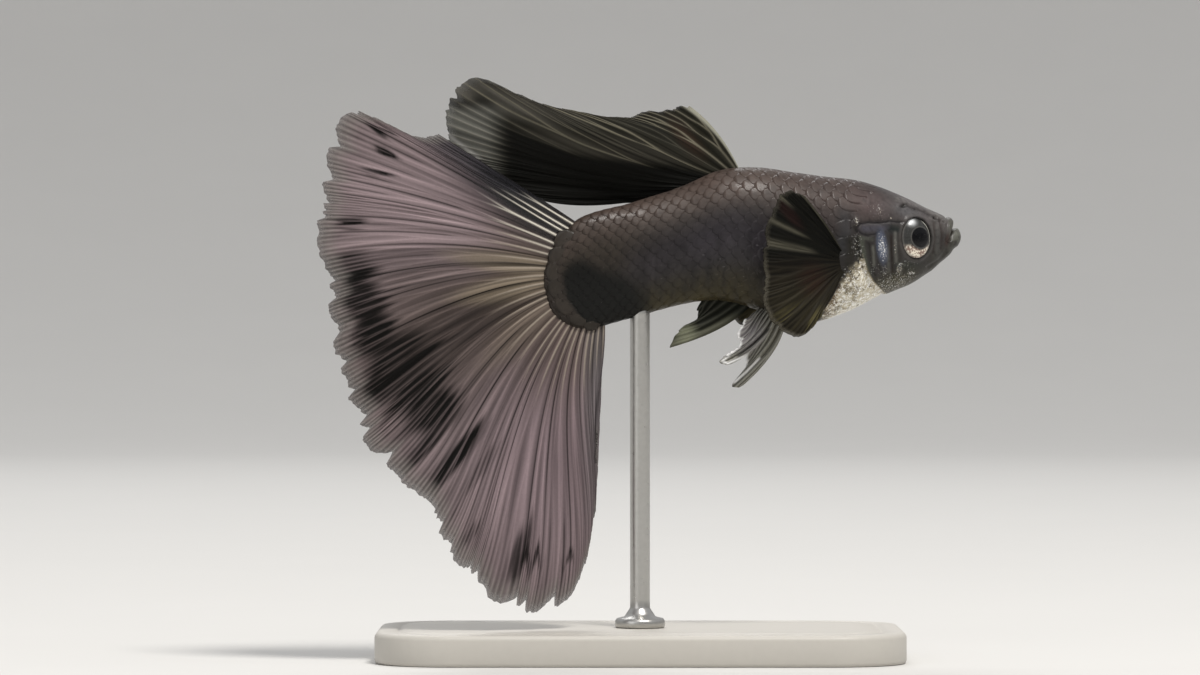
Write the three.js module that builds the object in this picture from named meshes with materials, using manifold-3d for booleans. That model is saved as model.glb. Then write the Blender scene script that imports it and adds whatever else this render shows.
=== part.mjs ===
// A male fancy guppy at life size, swimming, held over a flat base by one thin rod.
// Millimetres, +X towards the snout, +Y to the fish's left, +Z up, origin under the middle of the base.
// The fish is modelled straight, with its middle plane on Y = 0, and every piece is then bent by swim().
import * as THREE from "three";
import { mergeVertices } from "three/addons/utils/BufferGeometryUtils.js";
import Module from "manifold-3d";

const wasm = await Module();
wasm.setup();

// Driving dimensions.
const GAP = 0.25; // between pieces that meet
const FIN_HALF = 0.26; // half the thickness of a fin's membrane
const RAY_RIDGE = 0.16; // how far a ray stands out of the membrane on each face
const RAY_PAST = 0.022; // share of a ray that runs past the edge of the membrane
const BODY_RING = 32; // points round a section of the body
const BODY_STEPS = 38; // sections from the tail stem to the snout

// The swimming bend: headings of the fore body and of the tail in degrees,
// and where one turns into the other.
const HEADING_FORE = 12;
const HEADING_TAIL = 20;
const BEND_FROM_X = 9;
const BEND_TO_X = -7;

// Sections of the body along X: heights of the back, the belly and the widest line, and half the width.
const BODY_SECTIONS = [
  { x: -7.7, back: 31.0, belly: 29.8, wide: 30.4, half: 0.35 },
  { x: -7.2, back: 32.5, belly: 28.0, wide: 30.5, half: 0.6 },
  { x: -6.2, back: 34.0, belly: 26.95, wide: 30.7, half: 0.85 },
  { x: -4.6, back: 35.35, belly: 26.4, wide: 31.0, half: 1.2 },
  { x: -1.0, back: 36.4, belly: 27.2, wide: 32.0, half: 1.8 },
  { x: 3.4, back: 37.85, belly: 28.4, wide: 33.2, half: 2.4 },
  { x: 6.2, back: 39.1, belly: 28.7, wide: 34.0, half: 2.8 },
  { x: 9.0, back: 39.4, belly: 28.1, wide: 33.8, half: 3.15 },
  { x: 12.8, back: 38.95, belly: 26.85, wide: 33.2, half: 3.35 },
  { x: 16.6, back: 38.3, belly: 27.75, wide: 33.3, half: 3.2 },
  { x: 19.3, back: 37.6, belly: 29.1, wide: 33.5, half: 2.95 },
  { x: 21.6, back: 36.65, belly: 29.9, wide: 33.6, half: 2.55 },
  { x: 23.6, back: 35.68, belly: 31.2, wide: 33.7, half: 1.85 },
  { x: 25.0, back: 34.95, belly: 32.6, wide: 33.9, half: 0.9 },
];
const TAIL_END_X = BODY_SECTIONS[0].x;
const SNOUT_X = BODY_SECTIONS[BODY_SECTIONS.length - 1].x;
const FAR = 8; // a distance across, past the fish's side

const PARTING_X = 1.8; // between the trunk and the tail stem
const COVER_DEPTH = 0.6; // thickness of a gill cover
const COVER_INSET = 0.6; // from the middle plane to a gill cover
const EYE = { x: 21.85, y: 1.72, z: 33.72, radius: 1.6, depth: 1.0, forward: 14, up: 4 };
const NOSTRIL = { x: 23.75, z: 35.2, radius: 0.22, across: 0.52 };

// Lips: a band bent round the snout, from corner to corner of the mouth.
const UPPER_LIP = {
  front: 24.95,
  corner: 24.05,
  frontZ: 34.95,
  cornerZ: 33.75,
  spread: 1.5,
  thick: 0.36,
  tall: 0.42,
};
const LOWER_LIP = {
  front: 25.35,
  corner: 24.35,
  frontZ: 34.0,
  cornerZ: 32.75,
  spread: 1.3,
  thick: 0.34,
  tall: 0.75,
};

// Rays of each fin.
const TAIL_RAYS = 32;
const BACK_RAYS = 16;
const BREAST_RAYS = 8;
const BELLY_RAYS = 6;
const MATING_RAYS = 5;

const ROD_RADIUS = 0.8;
const BASE = { length: 42, width: 24, height: 2.5, corner: 6, bevel: 0.4 };

const { clamp, lerp, smoothstep, degToRad } = THREE.MathUtils;
const smooth = (t) => smoothstep(t, 0, 1);
const inPlane = (x, z) => new THREE.Vector3(x, 0, z);

// Materials.
const finish = (color, roughness, metalness = 0) =>
  new THREE.MeshStandardMaterial({ color, roughness, metalness });
const SKIN = finish(0x3a3532, 0.45);
const HEAD_SKIN = finish(0x4a4845, 0.4);
const GILL = finish(0x6d6b64, 0.35);
const BLACK_FIN = finish(0x14120f, 0.5);
const TAIL_FIN = finish(0x5a4f4f, 0.5);
const PALE_FIN = finish(0x8d9094, 0.35);
const EYE_FINISH = finish(0x171615, 0.08);
const BASE_FINISH = finish(0xbab8b3, 0.55);
const ROD_FINISH = finish(0xb8b6b0, 0.3, 1);

// A smooth curve through rows of values at rising places.
function through(places, rows) {
  const last = places.length - 1;
  const slope = (i, k) => {
    const a = Math.max(i - 1, 0);
    const b = Math.min(i + 1, last);
    return (rows[b][k] - rows[a][k]) / (places[b] - places[a]);
  };
  return (t) => {
    const i = clamp(places.findLastIndex((place) => place <= t), 0, last - 1);
    const span = places[i + 1] - places[i];
    const u = clamp((t - places[i]) / span, 0, 1);
    const bend = u * u * (3 - 2 * u);
    return rows[i].map((value, k) => {
      const leaving = slope(i, k) * span * u * (1 - u) ** 2;
      const arriving = slope(i + 1, k) * span * u * u * (u - 1);
      return lerp(value, rows[i + 1][k], bend) + leaving + arriving;
    });
  };
}

// The same for rows spread evenly over w from 0 to 1.
const evenly = (...rows) => through(rows.map((_, i) => i / (rows.length - 1)), rows);

const bodyCurve = through(
  BODY_SECTIONS.map((s) => s.x),
  BODY_SECTIONS.map((s) => [s.back, s.belly, s.wide, s.half]),
);

// Bends a point of the straight fish: its middle line swings from the tail's heading to the head's.
function swim(p) {
  const fore = Math.tan(degToRad(HEADING_FORE));
  const turn = Math.tan(degToRad(HEADING_TAIL)) - fore;
  const length = BEND_FROM_X - BEND_TO_X;
  const sideways = (x) => {
    const t = (BEND_FROM_X - x) / length;
    const turned = t < 0 ? 0 : t > 1 ? t - 0.5 : t ** 3 - t ** 4 / 2;
    return fore * x - turn * length * turned;
  };
  const heading = Math.atan(fore + turn * smooth((BEND_FROM_X - p.x) / length));
  const y = sideways(p.x) - sideways(0) + p.y * Math.cos(heading);
  return new THREE.Vector3(p.x - p.y * Math.sin(heading), y, p.z);
}

// Geometry from points and triangles.
function meshOf(points, triangles) {
  const geometry = new THREE.BufferGeometry();
  const numbers = points.flatMap((p) => p.toArray());
  geometry.setAttribute("position", new THREE.Float32BufferAttribute(numbers, 3));
  geometry.setIndex(triangles.flat());
  return geometry;
}

// A three.js geometry as a solid that can be cut and joined.
function solidOf(geometry) {
  const bare = geometry.index ? geometry.toNonIndexed() : geometry.clone();
  bare.deleteAttribute("normal");
  bare.deleteAttribute("uv");
  const welded = mergeVertices(bare, 1e-4);
  const vertProperties = new Float32Array(welded.attributes.position.array);
  const triVerts = new Uint32Array(welded.index.array);
  return new wasm.Manifold(new wasm.Mesh({ numProp: 3, vertProperties, triVerts }));
}

// The points and triangles of a solid.
function facesOf(solid) {
  const { numProp, vertProperties, triVerts } = solid.getMesh();
  const points = [];
  for (let i = 0; i < vertProperties.length; i += numProp) {
    points.push(new THREE.Vector3().fromArray(vertProperties, i));
  }
  return { points, triangles: Array.from(triVerts) };
}

function largest(solid) {
  return solid.decompose().reduce((a, b) => (b.volume() > a.volume() ? b : a));
}

function bent(solid) {
  const { points, triangles } = facesOf(solid);
  return solidOf(meshOf(points.map(swim), triangles));
}

// Lofts closed rings of points into a solid, with a fan at each end.
function loft(rings) {
  const size = rings[0].length;
  const points = rings.flat();
  const middle = (ring) => ring.reduce((sum, p) => sum.add(p), new THREE.Vector3()).divideScalar(size);
  const first = points.push(middle(rings[0])) - 1;
  const last = points.push(middle(rings[rings.length - 1])) - 1;
  const top = (rings.length - 1) * size;
  const triangles = [];
  for (let j = 0; j < size; j++) {
    const k = (j + 1) % size;
    for (let i = 0; i < rings.length - 1; i++) {
      const a = i * size;
      const b = a + size;
      triangles.push([a + j, a + k, b + k], [a + j, b + k, b + j]);
    }
    triangles.push([first, k, j], [last, top + j, top + k]);
  }
  return meshOf(points, triangles);
}

// The whole body as one solid, grown outwards by a clearance, or shrunk by a negative one.
function bodySolid(grow = 0) {
  const rings = [];
  for (let i = 0; i <= BODY_STEPS; i++) {
    const even = i / BODY_STEPS;
    const eased = (1 - Math.cos(Math.PI * even)) / 2; // closer together at both ends
    const x = lerp(TAIL_END_X, SNOUT_X, (even + eased) / 2);
    const [back, belly, wide, half] = bodyCurve(x);
    const brow = 0.28 * smooth((x - 17) / 5); // the top of the head is broad and flat
    const ring = [];
    for (let j = 0; j < BODY_RING; j++) {
      const angle = (2 * Math.PI * j) / BODY_RING;
      const c = Math.cos(angle);
      const s = Math.sin(angle);
      const rise = (s > 0 ? back - wide : wide - belly) + grow;
      const y = (half + grow) * Math.sign(c) * Math.abs(c) ** 0.94;
      const z = wide + rise * Math.sign(s) * Math.abs(s) ** (s > 0 ? 1 - brow : 1);
      ring.push(new THREE.Vector3(x + lerp(-grow, grow, even), y, z));
    }
    rings.push(ring);
  }
  return solidOf(loft(rings));
}

// A side outline, drawn in X and Z, cut straight across the fish from one Y to another.
function sidePrism(outline, fromY, toY) {
  const options = { depth: toY - fromY, bevelEnabled: false, curveSegments: 6 };
  const prism = new THREE.ExtrudeGeometry(outline, options);
  prism.rotateX(Math.PI / 2);
  prism.translate(0, toY, 0);
  return solidOf(prism);
}

// Everything in front of the gill opening, whose edge can be shifted.
function foreOutline(shift) {
  const outline = new THREE.Shape();
  outline.moveTo(16.7 + shift, 42);
  outline.lineTo(16.7 + shift, 36);
  outline.bezierCurveTo(16.7 + shift, 34.5, 17.1 + shift, 32.6, 17.6 + shift, 31.4);
  outline.quadraticCurveTo(18.3 + shift, 29.8, 19.6 + shift, 28.8);
  outline.lineTo(20.2 + shift, 26);
  outline.lineTo(28, 26);
  outline.lineTo(28, 42);
  outline.closePath();
  return outline;
}

// A gill cover's outline; its rear edge runs past the gill opening, which trims it.
function coverOutline(grow) {
  const outline = new THREE.Shape();
  outline.moveTo(16, 34.1 + grow);
  outline.lineTo(19.6, 34.25 + grow);
  outline.quadraticCurveTo(20.75 + grow, 34.2 + grow, 20.75 + grow, 32.9);
  outline.quadraticCurveTo(20.9 + grow, 31.2, 20.6 + grow, 29.95 - grow);
  outline.quadraticCurveTo(20.0, 29.3 - grow, 18.2, 28.9 - grow);
  outline.lineTo(16, 28.9 - grow);
  outline.closePath();
  return outline;
}

// One lip: an oval band that follows a U round the snout and thins towards the corners of the mouth.
function lipSolid(lip, grow = 0) {
  const steps = 12;
  const sides = 8;
  const reach = 1.28; // radians each way from the middle of the snout
  const rings = [];
  for (let i = 0; i <= steps; i++) {
    const turn = lerp(reach, -reach, i / steps);
    const swept = 1 - Math.cos(turn);
    const x = lerp(lip.front, lip.corner, swept);
    const centre = new THREE.Vector3(x, lip.spread * Math.sin(turn), lerp(lip.frontZ, lip.cornerZ, swept));
    const taper = Math.sqrt(1 - (0.82 * (turn / reach)) ** 2);
    const outward = new THREE.Vector3(Math.cos(turn), Math.sin(turn) * 0.8, 0).normalize();
    const ring = [];
    for (let j = 0; j < sides; j++) {
      const angle = (2 * Math.PI * j) / sides;
      const out = (lip.thick * taper + grow) * Math.cos(angle);
      const rise = (lip.tall * taper + grow) * Math.sin(angle);
      ring.push(centre.clone().addScaledVector(outward, out).add(inPlane(0, rise)));
    }
    rings.push(ring);
  }
  return solidOf(loft(rings));
}

// An eyeball, flattened across and turned a little forwards and up.
// side is -1 on the right and 1 on the left, here and below.
function eyeSolid(side, grow = 0) {
  const ball = new THREE.SphereGeometry(1, 20, 12);
  ball.rotateX(Math.PI / 2);
  ball.scale(EYE.radius + grow, EYE.depth + grow, EYE.radius + grow);
  ball.rotateX(side * degToRad(EYE.up));
  ball.rotateZ(-side * degToRad(EYE.forward));
  ball.translate(EYE.x, side * EYE.y, EYE.z);
  return solidOf(ball);
}

function nostrilSolid(side) {
  const [, , , half] = bodyCurve(NOSTRIL.x);
  const pit = new THREE.SphereGeometry(NOSTRIL.radius, 8, 6);
  pit.translate(NOSTRIL.x, side * half * NOSTRIL.across, NOSTRIL.z);
  return solidOf(pit);
}

// A fin's rays in the side plane. Ray w, from 0 to 1, starts at root(w) and ends at tip(w).
// headings(w) gives its directions there, in degrees from +X up towards +Z.
// The result maps w, and v from 0 at the root to 1 at the tip, to a point.
function finRays({ root, tip, headings }) {
  const towards = (degrees, length) => {
    const angle = degToRad(degrees);
    return inPlane(length * Math.cos(angle), length * Math.sin(angle));
  };
  return (w, v) => {
    const from = root(w);
    const to = tip(w);
    const [start, end] = headings(w);
    const pull = from.distanceTo(to) / 3;
    const afterRoot = from.clone().add(towards(start, pull));
    const beforeTip = to.clone().sub(towards(end, pull));
    return new THREE.CubicBezierCurve3(from, afterRoot, beforeTip, to).getPoint(v);
  };
}

// A fin as one thin closed sheet. Odd columns are rays and even ones the membrane between them.
// across(w, v) is how far the sheet stands from the side plane. Both faces have the same triangles.
// plainRoot is the share of the rays' length over which their ridges rise.
function finSolid({ rays, across, count, rows, plainRoot = 0 }) {
  const columns = 2 * count;
  const middle = (w, v) => rays(w, v).setY(across(w, v));
  const normalAt = (w, v) => {
    const step = 1e-3;
    const along = middle(Math.min(w + step, 1), v).sub(middle(Math.max(w - step, 0), v));
    const out = middle(w, Math.min(v + step, 1)).sub(middle(w, Math.max(v - step, 0)));
    return along.cross(out).normalize();
  };
  const front = [];
  const back = [];
  for (let i = 0; i <= columns; i++) {
    const w = i / columns;
    const isRay = i % 2 === 1 || i === 0 || i === columns;
    for (let j = 0; j <= rows; j++) {
      const v = (j / rows) * (isRay ? 1 : 1 - RAY_PAST);
      const thinned = 1 - 0.35 * smooth((v - 0.8) / 0.2);
      const risen = v < plainRoot ? smooth(v / plainRoot) : 1;
      const half = (FIN_HALF + (isRay ? RAY_RIDGE * risen : 0)) * thinned;
      const offset = normalAt(w, v).multiplyScalar(half);
      front.push(middle(w, v).add(offset));
      back.push(middle(w, v).sub(offset));
    }
  }
  const other = front.length;
  const at = (i, j) => i * (rows + 1) + j;
  const triangles = [];
  for (let i = 0; i < columns; i++) {
    for (let j = 0; j < rows; j++) {
      const [a, b, c, d] = [at(i, j), at(i + 1, j), at(i + 1, j + 1), at(i, j + 1)];
      triangles.push([a, b, c], [a, c, d]);
      triangles.push([other + a, other + c, other + b], [other + a, other + d, other + c]);
    }
  }
  const rim = [];
  for (let i = 0; i < columns; i++) rim.push([at(i + 1, 0), at(i, 0)], [at(i, rows), at(i + 1, rows)]);
  for (let j = 0; j < rows; j++) rim.push([at(0, j), at(0, j + 1)], [at(columns, j + 1), at(columns, j)]);
  for (const [a, b] of rim) triangles.push([a, b, other + b], [a, other + b, other + a]);
  return solidOf(meshOf([...front, ...back], triangles));
}

// A fin's margin as a smooth curve through its corners, from the first ray's tip to the last one's.
function margin(...corners) {
  const curve = new THREE.CatmullRomCurve3(corners.map(([x, z]) => inPlane(x, z)), false, "centripetal");
  return (w) => curve.getPointAt(w);
}

// The tail fin: a wide fan from the rounded end of the tail stem, waved across its rays.
function caudalFin() {
  const hub = inPlane(-3.3, 30.85);
  const root = (w) => {
    const angle = degToRad(lerp(112, 277, w + 0.07 * Math.sin(Math.PI * w)));
    return inPlane(hub.x + 3.8 * Math.cos(angle), hub.z + 4.1 * Math.sin(angle));
  };
  const tip = margin(
    [-15.8, 41.8], [-18.2, 42.0], [-22.8, 43.4], [-24.9, 39.1], [-25.8, 34.6],
    [-24.9, 28.6], [-23.5, 21.8], [-21.9, 17.8], [-18.3, 13.6], [-14.6, 7.1],
    [-9.8, 4.0], [-5.4, 5.2], [-3.5, 11.2], [-3.4, 18.0],
  );
  const headings = evenly(
    [147, 147], [150, 152], [157, 174], [171, 197], [186, 208], [202, 219],
    [220, 233], [236, 249], [247, 258], [258, 266], [272, 271],
  );
  const across = (w, v) => {
    const waves = 0.75 * v * smooth(v) * Math.sin(2 * Math.PI * (2.4 * w + 0.1));
    const curl = 0.9 * smooth((v - 0.55) / 0.45) * Math.sin(Math.PI * w) ** 2;
    return waves - curl;
  };
  return finSolid({ rays: finRays({ root, tip, headings }), across, count: TAIL_RAYS, rows: 10 });
}

// The back fin: short at its front ray, long and trailing behind, folded along its length.
function dorsalFin() {
  const root = (w) => inPlane(lerp(8.1, 4.6, w), lerp(38.9, 37.5, w));
  const tip = margin(
    [3.5, 44.6], [-0.4, 43.6], [-2.6, 43.3], [-8.1, 44.3], [-13.3, 46.4],
    [-14.5, 46.0], [-15.4, 43.1], [-15.0, 41.2], [-10.4, 37.9], [-6.8, 36.6],
  );
  const headings = evenly(
    [112, 148], [130, 166], [148, 176], [160, 172], [168, 154], [173, 146],
    [177, 150], [181, 165], [184, 172], [188, 172], [192, 168],
  );
  const across = (w, v) => {
    const fold = 0.9 * Math.sin(Math.PI * smooth(w / 0.75)) * smooth(v * 1.6);
    const lean = 2.3 * smooth((w - 0.3) / 0.6) * smooth(v * 2.2);
    return lean - fold;
  };
  return finSolid({ rays: finRays({ root, tip, headings }), across, count: BACK_RAYS, rows: 10 });
}

// A breast fin: a broad fan held out from the side behind the gill cover.
function pectoralFin(side) {
  const root = (w) => inPlane(15.75, lerp(32.3, 31.0, w));
  const tip = margin(
    [11.9, 37.0], [10.5, 37.4], [9.3, 36.2], [8.6, 33.6], [8.4, 31.1],
    [8.7, 28.0], [9.5, 26.6], [10.6, 25.9], [11.8, 25.9], [13.2, 27.3],
  );
  const headings = evenly([122, 130], [140, 142], [160, 165], [180, 183], [200, 203], [220, 225], [240, 252]);
  const across = (w, v) => {
    const fullness = 0.85 + 0.15 * Math.sin(Math.PI * w);
    return side * (2.7 + 3.4 * fullness * Math.sin((Math.PI / 2) * v));
  };
  return finSolid({ rays: finRays({ root, tip, headings }), across, count: BREAST_RAYS, rows: 6, plainRoot: 0.5 });
}

// A belly fin: a small fan whose first ray is drawn out into a soft tip.
// The left one hangs lower than the right.
function pelvicFin(side) {
  const right = side < 0;
  const root = (w) => inPlane(lerp(right ? 10.9 : 11.9, right ? 9.3 : 10.2, w), 27.9);
  const tip = right
    ? margin([5.6, 23.8], [7.4, 24.9], [7.4, 26.1], [8.3, 27.4])
    : margin([8.4, 21.7], [9.5, 23.2], [9.3, 24.8], [9.3, 26.7]);
  const headings = right
    ? evenly([242, 195], [228, 200], [212, 195], [200, 190], [192, 182])
    : evenly([272, 226], [255, 240], [238, 225], [222, 205], [208, 195]);
  const across = (w, v) => side * (0.75 + 1.3 * v);
  return finSolid({ rays: finRays({ root, tip, headings }), across, count: BELLY_RAYS, rows: 6 });
}

// The rod-like mating fin of the male, with its dark web above.
function gonopodium() {
  const root = (w) => inPlane(lerp(9.0, 5.2, w), lerp(28.4, 29.1, w));
  const tip = margin([2.4, 24.9], [3.3, 26.5], [4.6, 27.2], [4.6, 28.0]);
  const headings = evenly([228, 196], [222, 192], [215, 195], [225, 215], [250, 250]);
  return finSolid({ rays: finRays({ root, tip, headings }), across: () => 0, count: MATING_RAYS, rows: 6 });
}

// The base: a flat plate with round corners and a small bevel.
function standBase() {
  const { length, width, height, corner, bevel } = BASE;
  const x = length / 2 - bevel - corner;
  const y = width / 2 - bevel - corner;
  const plate = new THREE.Shape();
  plate.absarc(x, -y, corner, -Math.PI / 2, 0);
  plate.absarc(x, y, corner, 0, Math.PI / 2);
  plate.absarc(-x, y, corner, Math.PI / 2, Math.PI);
  plate.absarc(-x, -y, corner, Math.PI, Math.PI * 1.5);
  const geometry = new THREE.ExtrudeGeometry(plate, {
    depth: height - 2 * bevel,
    bevelThickness: bevel,
    bevelSize: bevel,
    bevelSegments: 1,
    curveSegments: 8,
  });
  geometry.translate(0, 0, bevel);
  return solidOf(geometry);
}

// The rod, from the base up into the fish, which is then cut from it.
function standRod() {
  const bottom = BASE.height + GAP;
  const top = 30;
  const rod = new THREE.CylinderGeometry(ROD_RADIUS, ROD_RADIUS, top - bottom, 20);
  rod.rotateX(Math.PI / 2);
  rod.translate(0, 0, (top + bottom) / 2);
  return solidOf(rod);
}

const body = bodySolid();
const bodyWithGap = bodySolid(GAP);
const rind = body.subtract(bodySolid(-COVER_DEPTH));
const coverPocket = bodyWithGap.subtract(bodySolid(-COVER_DEPTH - GAP));
const fore = sidePrism(foreOutline(0), -FAR, FAR);
const foreWithGap = sidePrism(foreOutline(-GAP), -FAR, FAR);

// A block that holds all of the fish from one X to another.
function block(fromX, toX) {
  const box = new THREE.BoxGeometry(toX - fromX, 2 * FAR, 2 * FAR);
  box.translate((fromX + toX) / 2, 0, 33);
  return solidOf(box);
}

function coverPrism(side, grow) {
  const [fromY, toY] = side < 0 ? [-FAR, -COVER_INSET] : [COVER_INSET, FAR];
  return sidePrism(coverOutline(grow), fromY, toY);
}

function headSolid() {
  let head = body.intersect(fore);
  for (const side of [-1, 1]) {
    head = head.subtract(coverPocket.intersect(coverPrism(side, GAP)));
    head = head.subtract(eyeSolid(side, GAP));
    head = head.subtract(nostrilSolid(side));
  }
  return head.subtract(lipSolid(UPPER_LIP, GAP)).subtract(lipSolid(LOWER_LIP, GAP));
}

const guppy = new THREE.Group();

// Adds the largest closed surface of a solid as a named mesh.
function add(name, solid, material) {
  const { points, triangles } = facesOf(largest(solid));
  const mesh = new THREE.Mesh(meshOf(points, triangles), material);
  mesh.name = name;
  guppy.add(mesh);
}

const addFin = (name, solid, material) => add(name, bent(solid.subtract(bodyWithGap)), material);

add("head", bent(headSolid()), HEAD_SKIN);
add("trunk", bent(body.subtract(foreWithGap).intersect(block(PARTING_X + GAP / 2, FAR * 3))), SKIN);
add("tail_stem", bent(body.intersect(block(-FAR * 3, PARTING_X - GAP / 2))), SKIN);
add("upper_lip", bent(lipSolid(UPPER_LIP).subtract(lipSolid(LOWER_LIP, GAP))), HEAD_SKIN);
add("lower_lip", bent(lipSolid(LOWER_LIP)), HEAD_SKIN);
addFin("caudal_fin", caudalFin(), TAIL_FIN);
addFin("dorsal_fin", dorsalFin(), BLACK_FIN);
addFin("gonopodium", gonopodium(), PALE_FIN);
for (const [name, side] of [["right", -1], ["left", 1]]) {
  add("eye_" + name, bent(eyeSolid(side)), EYE_FINISH);
  const cover = rind.intersect(fore).intersect(coverPrism(side, 0)).subtract(eyeSolid(side, GAP));
  add("gill_cover_" + name, bent(cover), GILL);
  addFin("pectoral_fin_" + name, pectoralFin(side), BLACK_FIN);
  addFin("pelvic_fin_" + name, pelvicFin(side), PALE_FIN);
}
add("stand_rod", standRod().subtract(bent(bodyWithGap)), ROD_FINISH);
add("stand_base", standBase(), BASE_FINISH);

export default guppy;
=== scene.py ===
"""Looks for the male fancy guppy on its display stand.

Shapes are worked out in millimetres on the straight fish, whose middle plane is Y = 0,
then bent by swim() and written in metres. +X is towards the snout, +Y to the fish's left, +Z up.
Places in the photograph are pixels of its 1200 by 675 frame, across and down.
"""

import math

import bpy
import numpy as np
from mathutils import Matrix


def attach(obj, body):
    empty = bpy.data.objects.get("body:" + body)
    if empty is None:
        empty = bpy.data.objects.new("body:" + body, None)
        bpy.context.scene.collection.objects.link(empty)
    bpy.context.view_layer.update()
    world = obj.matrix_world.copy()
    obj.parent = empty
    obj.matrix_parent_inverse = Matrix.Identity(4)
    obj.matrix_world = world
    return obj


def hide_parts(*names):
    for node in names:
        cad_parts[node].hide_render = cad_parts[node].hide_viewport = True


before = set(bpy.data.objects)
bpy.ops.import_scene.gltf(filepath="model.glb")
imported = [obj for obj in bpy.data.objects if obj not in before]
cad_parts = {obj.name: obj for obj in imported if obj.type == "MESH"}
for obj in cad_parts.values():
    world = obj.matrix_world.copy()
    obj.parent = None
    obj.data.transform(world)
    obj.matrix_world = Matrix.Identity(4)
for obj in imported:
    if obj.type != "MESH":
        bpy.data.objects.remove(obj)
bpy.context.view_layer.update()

MM = 0.001
CAMERA_MM = (-3.2, -450.0, 25.72)
PIXEL_MM = 0.08  # one pixel on the plane Y = 0
FRAME_MIDDLE = (600.0, 337.5)
FRAME_ZERO = (640.0, 659.0)  # the pixel of X = 0 and Z = 0
TONE = 1.25  # how much lighter the paint is than the colours read in the dark photograph

# Degrees that the head and the tail turn from the camera's plane, and where the body bends.
HEADING_FORE, HEADING_TAIL = 12.0, 20.0
BEND_FROM_X, BEND_TO_X = 9.0, -7.0


# Small mathematics.
def smooth(t):
    t = np.clip(t, 0.0, 1.0)
    return t * t * (3.0 - 2.0 * t)


def ramp(x, start, length):
    """Goes smoothly from 0 at start to 1 at start + length, where length may be below 0."""
    return smooth((x - start) / length)


def lerp(a, b, t):
    return a + (b - a) * t


def hump(distance, width):
    return np.exp(-((distance / width) ** 2))


def unit(vectors):
    return vectors / np.maximum(np.linalg.norm(vectors, axis=-1, keepdims=True), 1e-12)


def through(places, rows):
    """A smooth curve through rows of values at rising places."""
    places = np.array(places, float)
    rows = np.array(rows, float)
    last = len(places) - 1
    before = np.maximum(np.arange(last + 1) - 1, 0)
    after = np.minimum(np.arange(last + 1) + 1, last)
    slopes = (rows[after] - rows[before]) / (places[after] - places[before])[:, None]

    def at(t):
        t = np.asarray(t, float)
        i = np.clip(np.searchsorted(places, t, side="right") - 1, 0, last - 1)
        span = (places[i + 1] - places[i])[..., None]
        u = np.clip((t - places[i])[..., None] / span, 0.0, 1.0)
        leaving = slopes[i] * span * u * (1.0 - u) ** 2
        arriving = slopes[i + 1] * span * u * u * (u - 1.0)
        return lerp(rows[i], rows[i + 1], smooth(u)) + leaving + arriving

    return at


def evenly(*rows):
    return through([i / (len(rows) - 1) for i in range(len(rows))], rows)


def noise(points, cell, seed):
    """Smooth noise from -1 to 1 in cells of one size, the same each run."""
    q = np.asarray(points, float) / cell
    base = np.floor(q).astype(np.int64)
    f = smooth(q - base)
    total = 0.0
    for corner in range(2 ** q.shape[-1]):
        weight = 1.0
        mixed = np.int64(seed * 7919 + 17)
        for k, prime in zip(range(q.shape[-1]), (73856093, 19349663, 83492791)):
            step = (corner >> k) & 1
            mixed = mixed ^ ((base[..., k] + step) * prime)
            weight = weight * (f[..., k] if step else 1.0 - f[..., k])
        mixed = (mixed ^ (mixed >> 13)) * 1274126177 & 0x7FFFFFFF
        mixed = mixed ^ (mixed >> 15)
        total = total + weight * ((mixed % 65521) / 32760.0 - 1.0)
    return total


def noise_at(seed, *axes):
    """Noise in cells of size 1 over numbers that needn't be places."""
    return noise(np.stack(axes, -1), 1.0, seed)


def swim(points):
    """Bends the straight fish: its middle line swings from the tail's heading to the head's."""
    x, y, z = np.moveaxis(points, -1, 0)
    fore = math.tan(math.radians(HEADING_FORE))
    turn = math.tan(math.radians(HEADING_TAIL)) - fore
    length = BEND_FROM_X - BEND_TO_X

    def sideways(x):
        t = (BEND_FROM_X - x) / length
        inside = t**3 - t**4 / 2.0
        turned = np.where(t < 0.0, 0.0, np.where(t > 1.0, t - 0.5, inside))
        return fore * x - turn * length * turned

    heading = np.arctan(fore + turn * smooth((BEND_FROM_X - x) / length))
    middle = sideways(x) - sideways(np.zeros(1))
    return np.stack([x - y * np.sin(heading), middle + y * np.cos(heading), z], -1)


def in_frame(points):
    """Where bent points show in the photograph's frame, in pixels across and down."""
    near = -CAMERA_MM[1] / (points[..., 1] - CAMERA_MM[1]) / PIXEL_MM
    across = FRAME_MIDDLE[0] + (points[..., 0] - CAMERA_MM[0]) * near
    down = FRAME_MIDDLE[1] - (points[..., 2] - CAMERA_MM[2]) * near
    return across, down


def right_side(points):
    """The same points on the right side, which faces the camera; the left one is its mirror."""
    return points * (1.0, 0.0, 1.0) - np.abs(points) * (0.0, 1.0, 0.0)


# Paint.
def paint(red, green, blue, tone=TONE):
    """A colour as read in the photograph, from 0 to 255, made lighter and linear."""
    value = np.minimum(np.array([red, green, blue], float) * tone / 255.0, 0.95)
    return np.where(value <= 0.04045, value / 12.92, ((value + 0.055) / 1.055) ** 2.4)


def with_alpha(colour, alpha):
    return np.concatenate([colour, np.broadcast_to(alpha, colour.shape[:-1])[..., None]], -1)


def tint(colour, target, amount):
    return colour + (target - colour) * np.clip(amount, 0.0, 1.0)[..., None]


def blob(px, py, centre, reach, turn=0.0, edge=0.4):
    """1 inside an ellipse and 0 outside, with a soft edge."""
    a = math.radians(turn)
    dx, dy = px - centre[0], py - centre[1]
    u = (dx * math.cos(a) + dy * math.sin(a)) / reach[0]
    v = (dy * math.cos(a) - dx * math.sin(a)) / reach[1]
    return 1.0 - ramp(np.hypot(u, v), 1.0 - edge, 2.0 * edge)


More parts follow.
